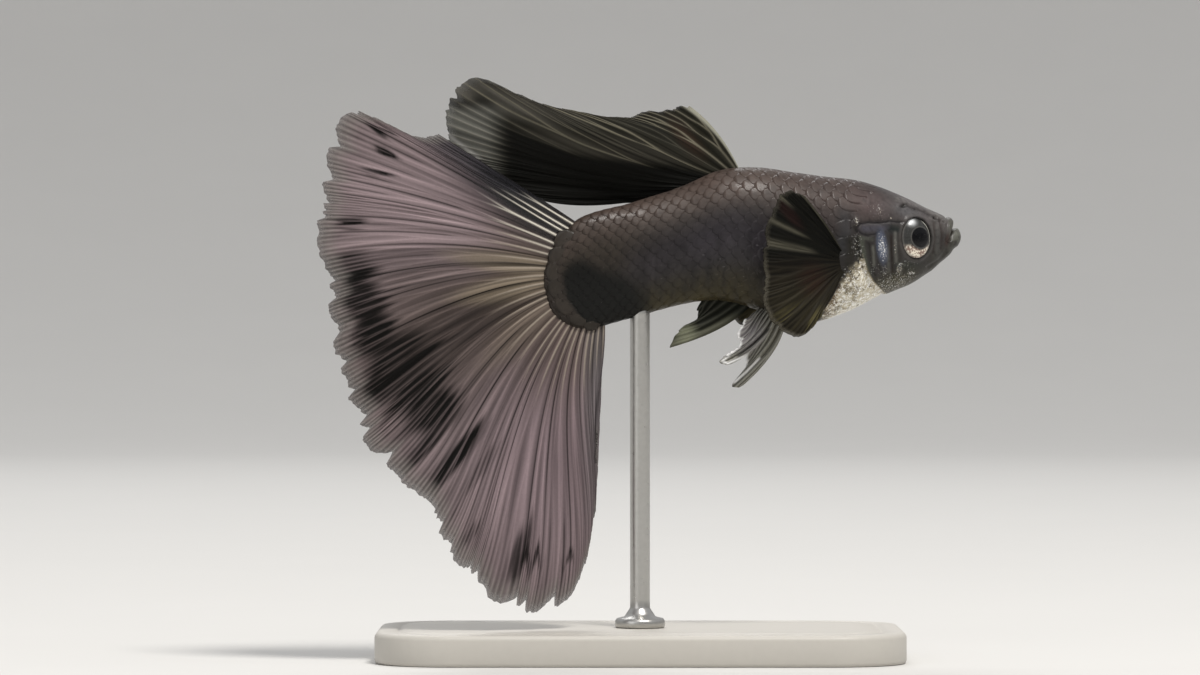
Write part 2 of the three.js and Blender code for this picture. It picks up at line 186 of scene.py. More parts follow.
class Canvas:
    """Points of the straight fish as the photograph's frame shows them, and the paint laid on them."""

    def __init__(self, points, tone=(0, 0, 0), **values):
        self.px, self.py = in_frame(swim(points))
        self.colour = np.zeros(points.shape) + paint(*tone)
        vars(self).update(values)

    def blob(self, *place):
        return blob(self.px, self.py, *place)

    def beside(self, corners):
        """Distance in pixels from a line through corners, below 0 on the left of its way."""
        best = np.full(np.shape(self.px), 1e9)
        side = np.zeros(np.shape(self.px))
        for (ax, ay), (bx, by) in zip(corners, corners[1:]):
            ux, uy = bx - ax, by - ay
            dx, dy = self.px - ax, self.py - ay
            t = np.clip((dx * ux + dy * uy) / (ux * ux + uy * uy), 0.0, 1.0)
            distance = np.hypot(dx - t * ux, dy - t * uy)
            nearer = distance < best
            side = np.where(nearer, np.sign(ux * dy - uy * dx), side)
            best = np.where(nearer, distance, best)
        return best * side

    def stroke(self, corners, width):
        return hump(self.beside(corners), width)

    def lay(self, tone, amount, shade=1.0):
        """Covers the paint with a colour, itself shaded, as far as amount says."""
        target = paint(*tone) * np.asarray(shade)[..., None]
        self.colour = tint(self.colour, target, amount)

    def marks(self, rows):
        """Lays rows of a place, a colour and how much of it. A place is what blob or stroke takes."""
        for *place, tone, amount in rows:
            mask = self.stroke(*place) if len(place) == 2 else self.blob(*place)
            self.lay(tone, mask * amount)

    def vary(self, factor):
        self.colour = self.colour * factor[..., None]


# Meshes.
def mesh_piece(name, points, faces, colours, corner_uvs=None):
    """A smooth-shaded mesh from points in millimetres, already bent."""
    mesh = bpy.data.meshes.new(name)
    mesh.from_pydata((points * MM).tolist(), [], faces)
    layer = mesh.color_attributes.new("Colour", "FLOAT_COLOR", "POINT")
    rgba = np.ones((len(points), 4), np.float32)
    rgba[:, : colours.shape[-1]] = colours
    layer.data.foreach_set("color", rgba.ravel())
    if corner_uvs is not None:
        layer = mesh.uv_layers.new(name="OFBake")
        layer.data.foreach_set("uv", np.asarray(corner_uvs, np.float32).ravel())
    mesh.polygons.foreach_set("use_smooth", np.ones(len(mesh.polygons), bool))
    mesh.update()
    piece = bpy.data.objects.new(name, mesh)
    bpy.context.scene.collection.objects.link(piece)
    return piece


def settle(piece, slot, *nodes):
    """Puts a piece on the one body and hides the solids that it stands for; slot is not used."""
    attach(piece, "root")
    if nodes:
        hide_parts(*nodes)
    return piece


def grid_faces(rows, columns, start=0, closed=False, flip=False):
    """Four-sided faces of a grid of points, and each corner's place in the grid."""
    wide = columns if closed else columns - 1
    i, j = np.meshgrid(np.arange(rows - 1), np.arange(wide), indexing="ij")
    i, j = i.ravel(), j.ravel()
    corners = [(i, j), (i, j + 1), (i + 1, j + 1), (i + 1, j)]
    if flip:
        corners = corners[::-1]
    faces = np.stack([start + a * columns + b % columns for a, b in corners], -1)
    places = np.stack([np.stack([a, b], -1) for a, b in corners], 1)
    return faces, places.astype(float)


def capped(rings, *ends):
    """Points and faces of a tube of rings with a fan round a point at its start, or at both ends."""
    rows, columns = rings.shape[:2]
    faces, places = grid_faces(rows, columns, closed=True)
    j = np.arange(columns)
    k = (j + 1) % columns
    hub = np.full(columns, rows * columns)
    last = (rows - 1) * columns
    fans = [(hub, k, j), (hub + 1, last + j, last + k)][: len(ends)]
    fans = np.concatenate([np.stack(fan, -1) for fan in fans])
    return np.concatenate([rings.reshape(-1, 3), ends]), faces.tolist() + fans.tolist(), places


def sheet_faces(rows, columns):
    """A closed sheet's faces: a grid, its back and the rim between them; also their places in the grid."""
    total = rows * columns
    front, spots = grid_faces(rows, columns)
    back, _ = grid_faces(rows, columns, start=total, flip=True)
    rim = [(0, j) for j in range(columns - 1)] + [(i, columns - 1) for i in range(rows - 1)]
    rim += [(rows - 1, j) for j in range(columns - 1, 0, -1)] + [(i, 0) for i in range(rows - 1, 0, -1)]
    rim = np.array(rim)
    edge = rim[:, 0] * columns + rim[:, 1]
    after = np.roll(edge, -1)
    sides = np.stack([edge, edge + total, after + total, after], -1)
    return np.concatenate([front, back, sides]), spots, rim


# The body's surface: rings from the tail stem to the inside of the mouth. Rows of the plain rings are X,
# Z of back and belly, and Z and half width of the widest line.
BODY_SECTIONS = [
    (-7.7, 31.0, 29.8, 30.4, 0.35),
    (-7.2, 32.5, 28.0, 30.5, 0.6),
    (-6.2, 34.0, 26.95, 30.7, 0.85),
    (-4.6, 35.35, 26.4, 31.0, 1.2),
    (-1.0, 36.4, 27.2, 32.0, 1.8),
    (3.4, 37.85, 28.4, 33.2, 2.4),
    (6.2, 39.1, 28.7, 34.0, 2.8),
    (9.0, 39.4, 28.1, 33.8, 3.15),
    (12.8, 38.95, 26.85, 33.2, 3.35),
    (16.6, 38.3, 27.75, 33.3, 3.2),
    (19.3, 37.6, 29.1, 33.5, 2.95),
    (21.6, 36.65, 29.9, 33.6, 2.55),
]
# Rows are t, X and Z of the ring's top, X, half width and Z of its widest line, and X and Z of its bottom.
MOUTH_RINGS = [
    (23.4, (23.4, 35.77), (23.4, 1.9, 33.68), (23.4, 31.05)),
    (24.0, (24.0, 35.48), (23.9, 1.62, 33.6), (24.05, 31.72)),
    (24.45, (24.3, 35.33), (24.1, 1.45, 33.5), (24.75, 32.42)),
    (24.75, (24.47, 35.17), (24.2, 1.32, 33.45), (25.05, 32.87)),
    (25.1, (24.74, 35.24), (24.35, 1.34, 33.45), (25.42, 33.18)),
    (25.6, (25.0, 34.98), (24.42, 1.25, 33.48), (25.66, 33.9)),
    (26.0, (24.95, 34.72), (24.35, 1.12, 33.52), (25.42, 34.55)),
    (26.3, (24.85, 34.62), (24.25, 1.05, 33.53), (24.95, 34.5)),
    (26.8, (24.2, 34.35), (23.9, 0.8, 33.55), (24.3, 34.1)),
]
ring_places = [s[0] for s in BODY_SECTIONS] + [r[0] for r in MOUTH_RINGS]
ring_rows = [(x, back, x, half, wide, x, belly) for x, back, belly, wide, half in BODY_SECTIONS]
ring_rows += [(*up, *mid, *low) for _, up, mid, low in MOUTH_RINGS]
ring_curve = through(ring_places, ring_rows)
TAIL_T, MOUTH_T = ring_places[0], ring_places[-1]
CROWN = 0.3  # how far the forehead is raised
MOUTH_FORWARD = 0.34


def body_point(t, angle):
    """A point of the straight body's smooth surface; angle is 0 on the left, a quarter turn at the back."""
    up_x, up_z, mid_x, half, mid_z, low_x, low_z = np.moveaxis(ring_curve(t), -1, 0)
    c, s = np.cos(angle), np.sin(angle)
    top = s > 0
    brow = 0.28 * ramp(mid_x, 17.0, 5.0)
    run = np.where(top, up_x, low_x) - mid_x
    crown = CROWN * ramp(mid_x, 13.5, 5.0) * ramp(mid_x, 26.5, -3.0)
    rise = np.where(top, up_z, low_z) - mid_z + np.where(top, crown, 0.0)
    x = mid_x + run * np.abs(s)
    x = x + MOUTH_FORWARD * ramp(x, 22.6, 2.6)
    y = half * np.sign(c) * np.abs(c) ** 0.94
    z = mid_z + rise * np.abs(s) ** np.where(top, 1.0 - brow, 1.0)
    return np.stack([x, y, z], -1)


def outward(surface, a, b, step=1e-3):
    """The unit normal of a surface of two numbers."""
    da = surface(a + step, b) - surface(a - step, b)
    db = surface(a, b + step) - surface(a, b - step)
    return unit(np.cross(db, da))


# Lines of the head, in pixels.
GILL_EDGE = [(851, 214), (855, 226), (858, 240), (860, 252), (864, 265), (870, 277), (878, 287), (886, 294)]
CHEEK_GROOVE = [(889, 231), (892, 248), (893, 264), (892, 286)]
LOOP_TOP = [(857, 228), (860, 224), (868, 222.5), (880, 223), (890, 221), (897, 222), (904, 222)]
LOOP_LOW = [(857, 230), (862, 234), (868, 235.5), (875, 234), (880, 231)]
CREASES = [[(934, 223), (935, 238), (933, 253)], [(940, 220), (942, 234), (941, 249)]]
JAW_LINE = [(949, 241), (946, 251), (939, 260), (928, 267)]
SNOUT_LINE = [(904, 205), (912, 208), (922, 211), (931, 216), (940, 221)]
SNOUT_RIDGE = [(896, 198), (912, 203), (930, 210), (946, 219)]
# Relief of the head along lines: corners, half width, and how far it stands out or is cut in, in mm.
HEAD_RELIEF = [
    (CHEEK_GROOVE, 1.7, -0.1),
    (LOOP_TOP, 1.3, -0.08),
    (LOOP_LOW, 1.3, -0.08),
    (JAW_LINE, 1.8, -0.06),
    (SNOUT_LINE, 1.5, -0.05),
    (CREASES[0], 1.4, -0.05),
    (CREASES[1], 1.4, -0.07),
    ([(865, 240), (868, 262), (873, 276)], 1.3, -0.04),
    ([(877, 237), (879, 262), (882, 278)], 1.3, -0.04),
    ([(896, 234), (897, 262)], 2.6, 0.05),
    ([(887, 240), (888, 270)], 2.4, 0.04),
]
FLANK_FOLDS = (702, 710, 717, 723, 741, 749, 757)
# Nostrils, the pore over the eye, and the pits along the snout: middle, half width and depth.
PITS = [
    ((935, 218), 1.8, 0.2),
    ((944, 222), 1.2, 0.1),
    ((903, 206), 2.2, 0.12),
    ((915, 209), 1.2, 0.06),
    ((925, 212), 1.2, 0.06),
]
EYE = dict(x=21.66, y=2.0, z=33.72, long=1.42, tall=1.72, deep=0.8, forward=18.0, up=4.0)
SOCKET = (1.32, 1.62)  # half the opening's length and height
SOCKET_DEPTH = 1.3
FAR_OFF = 9.0


def eye_axes(side):
    """The eye's middle, its outward axis, and the directions forwards and up across it."""
    a, e = math.radians(EYE["forward"]), math.radians(EYE["up"])
    out = np.array([math.sin(a) * math.cos(e), side * math.cos(a) * math.cos(e), math.sin(e)])
    ahead = np.array([math.cos(a), -side * math.sin(a), 0.0])
    up = np.cross(ahead, out) * side
    return np.array([EYE["x"], side * EYE["y"], EYE["z"]]), out, ahead, up


def from_socket(points, side):
    """Distance from the eye's middle across its socket, 1 at the socket's edge."""
    middle, _, ahead, up = eye_axes(side)
    offset = points - middle
    rho = np.hypot(offset @ ahead / SOCKET[0], offset @ up / SOCKET[1])
    return np.where(points[..., 1] * side > 0.4, rho, FAR_OFF)


def relief(points):
    """How far the skin's folds, grooves, plates and pits stand from the smooth body."""
    at = Canvas(right_side(points))
    raised = 0.02 * noise(points, 1.1, 3) * ramp(points[..., 0], -6.0, 4.0) + 0.006 * noise(points, 0.25, 4)
    # The gill cover's rim stands over the breast, with a groove behind it.
    distance = at.beside(GILL_EDGE)
    ends = ramp(at.py, 214.0, 10.0) * ramp(at.py, 299.0, -8.0)
    raised = raised + ends * np.where(distance > 0, -0.2 * hump(distance, 5.0), 0.09 * hump(distance, 9.0))
    for corners, width, height in HEAD_RELIEF:
        raised = raised + height * at.stroke(corners, width)
    # Soft upright folds of the flank above the belly.
    for i, across in enumerate(FLANK_FOLDS):
        corners = [(across, 246 + 5 * (i % 3)), (across + 2, 270), (across - 1, 284)]
        raised = raised - 0.035 * at.stroke(corners, 1.8)
    for centre, wide, depth in PITS:
        distance = np.hypot(at.px - centre[0], (at.py - centre[1]) * 1.3)
        raised = raised - depth * (hump(distance, wide) - 0.35 * hump(distance - 2.0 * wide, wide))
    # The eye's socket and its soft rim.
    for side in (-1, 1):
        rho = from_socket(points, side)
        raised = lerp(raised, -SOCKET_DEPTH, ramp(rho, 1.03, -0.1))
        raised = raised + 0.06 * hump(rho - 1.1, 0.1) - 0.02 * hump(rho - 1.32, 0.12)
    return raised


BLACK = (8, 8, 6)
# Marks are blobs (middle and reach in pixels, turn in degrees, softness) or strokes (corners in pixels,
# half width), each with a colour as read in the photograph and how much of it.
HEAD_BARS = [
    ([(845, 216), (846, 232), (843, 246)], 8.0, (44, 45, 47), 0.6),
    ([(838, 197), (838, 224)], 1.3, (34, 30, 28), 0.5),
    ([(851, 204), (850, 218)], 1.2, (34, 30, 28), 0.4),
    ([(864, 229), (886, 228)], 4.5, (56, 55, 61), 0.85),
    ([(892, 229), (898, 230)], 4.5, (21, 26, 25), 0.85),
    ([(900, 236), (900, 260)], 2.6, (33, 30, 27), 0.7),
    ([(850, 240), (851, 252), (849, 264)], 4.6, (26, 24, 19), 0.85),
    ([(861, 239), (863, 256), (868, 274)], 3.4, (56, 58, 51), 0.9),
    ([(857, 238), (872, 239)], 1.8, (64, 65, 60), 0.7),
    ([(869.5, 244), (871, 262), (876, 279)], 1.1, (24, 22, 19), 0.8),
    ([(873, 247), (874, 265)], 1.5, (72, 72, 67), 0.8),
    ([(877.5, 239), (878, 258), (881, 275)], 1.1, (26, 24, 22), 0.75),
    ([(887, 248), (888.5, 272)], 1.7, (66, 65, 61), 0.7),
    ([(891.5, 236), (892.5, 262), (892, 285)], 1.5, (27, 20, 17), 0.9),
    ([(895, 233), (896, 262)], 1.6, (74, 73, 69), 0.8),
    (GILL_EDGE[1:6], 1.2, (20, 18, 15), 0.8),
    (LOOP_TOP, 1.1, (18, 16, 18), 0.95),
    (LOOP_LOW, 1.1, (18, 16, 18), 0.95),
]
NAPE_BLUSH = [((868, 202), (24, 12), 18, 0.8, (66, 54, 54), 0.6)]
# The stem's black blotch, with painted shade of the stem's underside in it.
STEM_BLOTCH_AND_SHADE = [((602, 303), (48, 31), 14, 0.3, BLACK, 0.99), ((580, 287), (20, 27), 0, 0.3, BLACK, 0.95)]
CHEEK_SHADE = [((909, 266), (12, 5), 0, 0.7, (34, 38, 31), 0.6)]
SNOUT_MARKS = [
    ((908, 212), (12, 5), 20, 0.7, (78, 78, 80), 0.5),
    ((936, 240), (5, 18), -6, 0.8, (70, 70, 68), 0.45),
    (SNOUT_LINE, 1.5, (30, 27, 26), 0.65),
    ((903, 206), (4, 2), -20, 0.5, (22, 20, 18), 0.8),
    # The creases' dark lines are painted shade along the jaw's edge.
    (CREASES[0], 1.5, (36, 28, 26), 0.6),
    (CREASES[1], 1.5, (36, 28, 26), 0.6),
    ((947.5, 240), (2.4, 6.0), 10, 0.7, (48, 34, 29), 0.6),
]
LIP_LIGHT = [((957, 231), (4, 8), 0, 0.7, (96, 97, 90), 0.5)]
# Places without a colour of their own.
STEM_BAND = [(576, 218), (563, 250), (562, 275), (567, 298), (588, 330)]
BLUE_PLATE = ((882, 247), (4.6, 15), -6, 0.6)
THROAT = ((893, 283), (26, 9), -16, 0.7)
BREAST_FRONT = [(863, 256), (867, 270), (873, 281), (883, 291), (896, 299)]
BREAST_REAR = [(806, 345), (818, 306), (832, 284), (846, 268), (857, 254), (862, 246)]
BREAST_STAIN = ((833, 298), (6, 13), 20, 0.7)
# Where silver specks gather: middle and reach in pixels, turn, and how thickly.
SPECKS = [
    ((858, 250), (6, 17), -8, 0.42),
    ((872, 268), (3, 9), -10, 0.3),
    ((846, 275), (8, 8), 0, 0.4),
    ((899, 269), (3.2, 8), 15, 0.62),
    ((911, 273), (5, 2.2), 0, 0.6),
    ((883, 271), (6, 10), -10, 0.36),
    ((878, 210), (9, 8), 20, 0.3),
    ((856, 221), (3, 5), 0, 0.5),
    ((891, 218), (1.3, 1.3), 0, 0.6),
    ((871, 193), (1.3, 1.3), 0, 0.6),
    ((906, 266), (12, 7), 0, 0.28),
    ((895, 246), (1.6, 9), 0, 0.4),
    ((925, 277), (22, 8), -30, 0.24),
]
BODY_TONE = 0.84


def body_paint(points):
    """The markings of skin and scales at points of the straight body, and how thick the specks are."""
    at = Canvas(right_side(points), (33, 31, 30))
    x, _, z = np.moveaxis(points, -1, 0)
    rows = ring_curve(np.clip(x, TAIL_T, 23.4))
    back, belly = rows[..., 1], rows[..., 6]
    f = np.clip((z - belly) / (back - belly), 0.0, 1.0)
    fine = noise(points, 0.22, 12)
    at.lay((30, 27, 24), ramp(x, 6.0, -10.0))
    # The back is painted lighter than the flank: painted light from above.
    at.lay((60, 54, 50), ramp(f, 0.52, 0.42))
    at.lay((50, 44, 43), ramp(f, 0.45, 0.3) * ramp(x, 8.0, 6.0) * 0.8)
    at.lay((41, 36, 31), ramp(x, 2.0, -6.0) * ramp(f, 0.35, 0.3) * 0.8)
    at.lay((47, 45, 44), ramp(x, 17.0, 3.0) * 0.8)
    at.marks(NAPE_BLUSH)
    at.lay((68, 64, 64), ramp(x, 18.5, 3.0) * ramp(f, 0.6, 0.25))
    at.lay((60, 55, 40), ramp(f, 0.14, -0.12) * ramp(x, 9.0, -4.0) * ramp(x, -5.0, 4.0))
    # A violet cast along the middle of the side, warmer above.
    cloud = 0.5 + 0.5 * noise(points, 2.4, 17)
    middle = hump(f - 0.5, 0.2) * ramp(x, -3.0, 4.0) * ramp(x, 15.0, -4.0)
    at.lay((40, 37, 42), middle * (0.3 + 0.5 * cloud))
    at.lay((66, 55, 50), ramp(f, 0.66, 0.25) * (0.2 + 0.6 * cloud) * ramp(x, 19.0, -4.0))
    # Upright streaks along the flank, yellower towards the belly.
    flank = ramp(x, -3.0, 3.0) * ramp(x, 10.5, -2.0) * ramp(f, 0.66, -0.25)
    upright = noise_at(14, at.px / 4.0, at.py / 30.0)
    at.vary(1.0 + 0.3 * flank * upright)
    at.lay((50, 45, 29), flank * ramp(f, 0.34, -0.28) * (0.6 + 0.4 * upright))
    # The black blotch low on the tail stem, which also holds painted shade on the stem's underside, and the
    # paler scaly band behind it.
    at.marks(STEM_BLOTCH_AND_SHADE)
    at.lay((41, 36, 32), smooth(0.5 + at.beside(STEM_BAND) / 4.5) * 0.9)
    # The head's plates and bars, pale and dark by turns from the gill opening to the eye.
    at.marks(HEAD_BARS)
    blue = at.blob(*BLUE_PLATE)
    at.lay((72, 80, 98), blue * 0.75)
    at.lay((84, 82, 78), ramp(x, 22.6, 1.0) * ramp(f, 0.5, 0.3) * 0.3)
    at.lay((46, 44, 39), ramp(x, 22.2, 1.4) * ramp(f, 0.6, -0.3) * 0.7)
    at.marks(CHEEK_SHADE)
    # Under the throat the skin is olive.
    throat = at.blob(*THROAT)
    at.lay((54, 51, 38), throat * 0.8)
    # The white breast, broken up towards its upper rear edge.
    behind = at.beside(BREAST_REAR)
    breast = smooth(0.5 + at.beside(BREAST_FRONT) / 2.5) * ramp(behind, -3.0, 16.0) * ramp(x, 11.6, 1.6)
    core = breast * smooth((behind + 6.0 * fine - 3.0) / 7.0)
    at.lay((150, 141, 119), core * 0.92)
    glitter = noise(points, 0.24, 15) + 0.6 * noise(points, 0.6, 16)
    fleck = ramp(glitter, -0.2, 0.5) * ramp(behind, 34.0, -24.0)
    fleck = np.maximum(fleck, 0.7 * ramp(glitter, 0.35, 0.3))
    at.lay((62, 53, 38), core * fleck * 0.8)
    at.lay((104, 84, 62), breast * at.blob(*BREAST_STAIN) * 0.6)
    # How thickly silver specks cover the skin, which the material scatters.
    specks = [core * (0.9 - 0.38 * fleck), 0.56 * breast, 0.5 * throat, 0.56 * blue]
    specks += [thick * at.blob(centre, reach, turn, 0.6) for centre, reach, turn, thick in SPECKS]
    # The snout: a pale ridge over a dark seam of pits, the mouth's reddish corner, pale lips.
    at.lay((92, 90, 87), at.stroke(SNOUT_RIDGE, 2.2) * (0.35 + 0.35 * fine))
    at.marks(SNOUT_MARKS)
    at.lay((64, 64, 58), ramp(x, 24.55, 0.35) * np.clip(0.5 + 0.55 * fine, 0.0, 1.0))
    at.marks(LIP_LIGHT)
    # Round the eye a thin dark line with a paler one outside it.
    for side in (-1, 1):
        rho = from_socket(points, side)
        at.lay((20, 19, 18), ramp(rho, 1.08, -0.08) * 0.9)
        at.lay((66, 63, 61), hump(rho - 1.17, 0.08) * 0.5)
    stipple = ramp(noise(points, 0.18, 18), 0.25, 0.3)
    at.vary(
        BODY_TONE
        * (1.0 + 0.12 * noise(points, 0.8, 11) + 0.1 * fine + 0.06 * noise(points, 0.1, 13) - 0.22 * stipple)
    )
    return with_alpha(at.colour, np.maximum.reduce(specks))


# The skin, one closed surface for head, trunk, tail stem, lips and gill covers.
SKIN_COLUMNS = 272
# Rings are closer together over the head and the mouth: where each run starts and ends, and its rings.
SKIN_RUNS = [(TAIL_T, 16.8, 180), (16.8, 23.3, 100)]
MOUTH_RUN = (23.3, MOUTH_T, 66)


def skin_piece():
    runs = [np.linspace(*run, endpoint=False) for run in SKIN_RUNS]
    rings = np.concatenate([*runs, np.linspace(*MOUTH_RUN)])
    around = np.arange(SKIN_COLUMNS + 1) / SKIN_COLUMNS
    t, angle = np.meshgrid(rings, around[:-1] * 2.0 * math.pi + 0.5 * math.pi, indexing="ij")
    bare = body_point(t, angle)
    raised = relief(bare) * ramp(t, TAIL_T, 0.4) * (1.0 - ramp(t, 25.9, 0.4))
    points = bare + outward(body_point, t, angle) * raised[..., None]
    colours = body_paint(bare)
    inner_mouth = ramp(t, 26.0, 0.4)
    colours[..., :3] = tint(colours[..., :3], paint(20, 14, 12), inner_mouth)
    flat, faces, places = capped(points, points[0].mean(0), points[-1].mean(0))
    tones = np.concatenate([colours.reshape(-1, 4), [colours[0].mean(0), colours[-1].mean(0)]])
    # The map unrolls the skin; each fan's triangles lie along its ends.
    low, high = around[:-1], around[1:]
    middle = (low + high) / 2
    across = np.concatenate([np.stack([middle, high, low], -1), np.stack([middle, low, high], -1)])
    fan_uvs = np.stack([np.repeat([0.0, 1.0], 3 * SKIN_COLUMNS), across.ravel()], -1)
    uvs = (places / (len(rings) - 1, SKIN_COLUMNS)).reshape(-1, 2)
    return mesh_piece("skin", swim(flat), faces, tones, np.concatenate([uvs, fan_uvs]))


skin = settle(
    skin_piece(), "body_skin",
    "head", "trunk", "tail_stem", "upper_lip", "lower_lip", "gill_cover_right", "gill_cover_left",
)


# Scales: rounded plates in staggered rows, each lying over the front of the one behind it.
SCALE_ROWS = 20  # staggered rows from the back to the belly on one side
SCALE_GRID = 7
SCALE_THICK = 0.012
SCALE_PATCH = 0.0015  # half of a scale's patch on the bake map
MAP_LENGTH = 30.0  # millimetres of the body along the bake map
SCALE_EDGES = ((612, 236), (58, 32), 20, 0.7)
table_t = np.linspace(TAIL_T, 22.0, 300)
table_a = np.linspace(0.5 * math.pi, -0.5 * math.pi, 241)
table_points = body_point(*np.meshgrid(table_t, table_a, indexing="ij"))
table_steps = np.linalg.norm(np.diff(table_points, axis=1), axis=-1)
table_run = np.concatenate([np.zeros((len(table_t), 1)), np.cumsum(table_steps, 1)], 1)
shares = np.linspace(0.0, 1.0, 121)
share_angle = np.stack([np.interp(shares, run / run[-1], table_a) for run in table_run])


def angle_at(t, share):
    """The ring's angle at a share of the way from the back to the belly along the skin."""
    u = np.clip((t - table_t[0]) / (table_t[-1] - table_t[0]), 0.0, 1.0) * (len(table_t) - 1)
    v = np.clip(share, 0.0, 1.0) * (len(shares) - 1)
    i = np.minimum(u.astype(int), len(table_t) - 2)
    j = np.minimum(v.astype(int), len(shares) - 2)
    near = lerp(share_angle[i, j], share_angle[i, j + 1], v - j)
    far = lerp(share_angle[i + 1, j], share_angle[i + 1, j + 1], v - j)
    return lerp(near, far, u - i)


def scale_pitch(t):
    return lerp(0.78, 1.02, ramp(t, -7.0, 12.0))


def scale_middles():
    """Where the scales sit: t along the body, and the share of the way from back to belly."""
    starts = [TAIL_T + 0.1]
    while starts[-1] < 19.5:
        starts.append(starts[-1] + float(scale_pitch(starts[-1])))
    found = []
    for row in range(SCALE_ROWS + 1):
        share = row / SCALE_ROWS
        # Scales end behind the gill opening, and reach further forward on the nape.
        front = lerp(18.6, 16.2, float(smooth(share / 0.35)))
        front = lerp(front, 14.2, float(ramp(share, 0.62, 0.2)))
        for a, b in zip(starts, starts[1:]):
            t = lerp(a, b, 0.5 * (row % 2))
            if t < front:
                found.append((t, share))
    return np.array(found)


def stem_half_width(x, z):
    """How far the stem's skin stands from the middle plane."""
    rows = ring_curve(np.maximum(x, TAIL_T))
    limit = np.where(z > rows[..., 4], rows[..., 1], rows[..., 6]) - rows[..., 4]
    s = np.clip((z - rows[..., 4]) / limit, 0.0, 1.0)
    return np.where(x < TAIL_T, 0.0, rows[..., 3] * (1.0 - s**2) ** 0.47)


# Larger scales at the stem's end, over the tail fin's rays: middle and half size in pixels.
TAIL_LOBES = [
    (566, 243, 13), (559, 258, 12), (556, 273, 12), (559, 288, 13), (566, 303, 13), (578, 315, 12),
    (590, 321, 10),
]
LOBE_HUB = (598.0, 280.0)
LOBE_THICK = 0.05


def tail_lobes(side, a, wide, rng):
    """The points and tones of the large scales, each draped over the stem and the fin."""
    tops, tones = [], []
    for across, down, size in TAIL_LOBES:
        away = unit(np.array([across - LOBE_HUB[0], LOBE_HUB[1] - down]) + rng.uniform(-3.0, 3.0, 2))
        reach = size * PIXEL_MM
        x = (across - FRAME_ZERO[0]) * PIXEL_MM + reach * (a * away[0] - wide * away[1])
        z = (FRAME_ZERO[1] - down) * PIXEL_MM + reach * (a * away[1] + wide * away[0])
        rest = (stem_half_width(x, z) ** 4 + 0.3**4) ** 0.25
        y = rest + 0.02 - 0.02 * wide**2 - 0.12 * ramp(a, 0.35, -1.2)
        tops.append(np.stack([x, side * y, z], -1))
        tone = paint(37, 33, 29) * rng.uniform(0.9, 1.1)
        rear = 0.45 * ramp(a, 0.78, 0.22) * rng.uniform(0.2, 1.0)
        shade = 1.0 - rear + 0.12 * noise(np.stack([x, y, z], -1), 0.25, 23)
        tones.append(with_alpha(tone * shade[..., None], 0.0))
    tops = np.stack(tops)
    return tops, tops - np.array([0.0, side * LOBE_THICK, 0.0]), np.stack(tones)


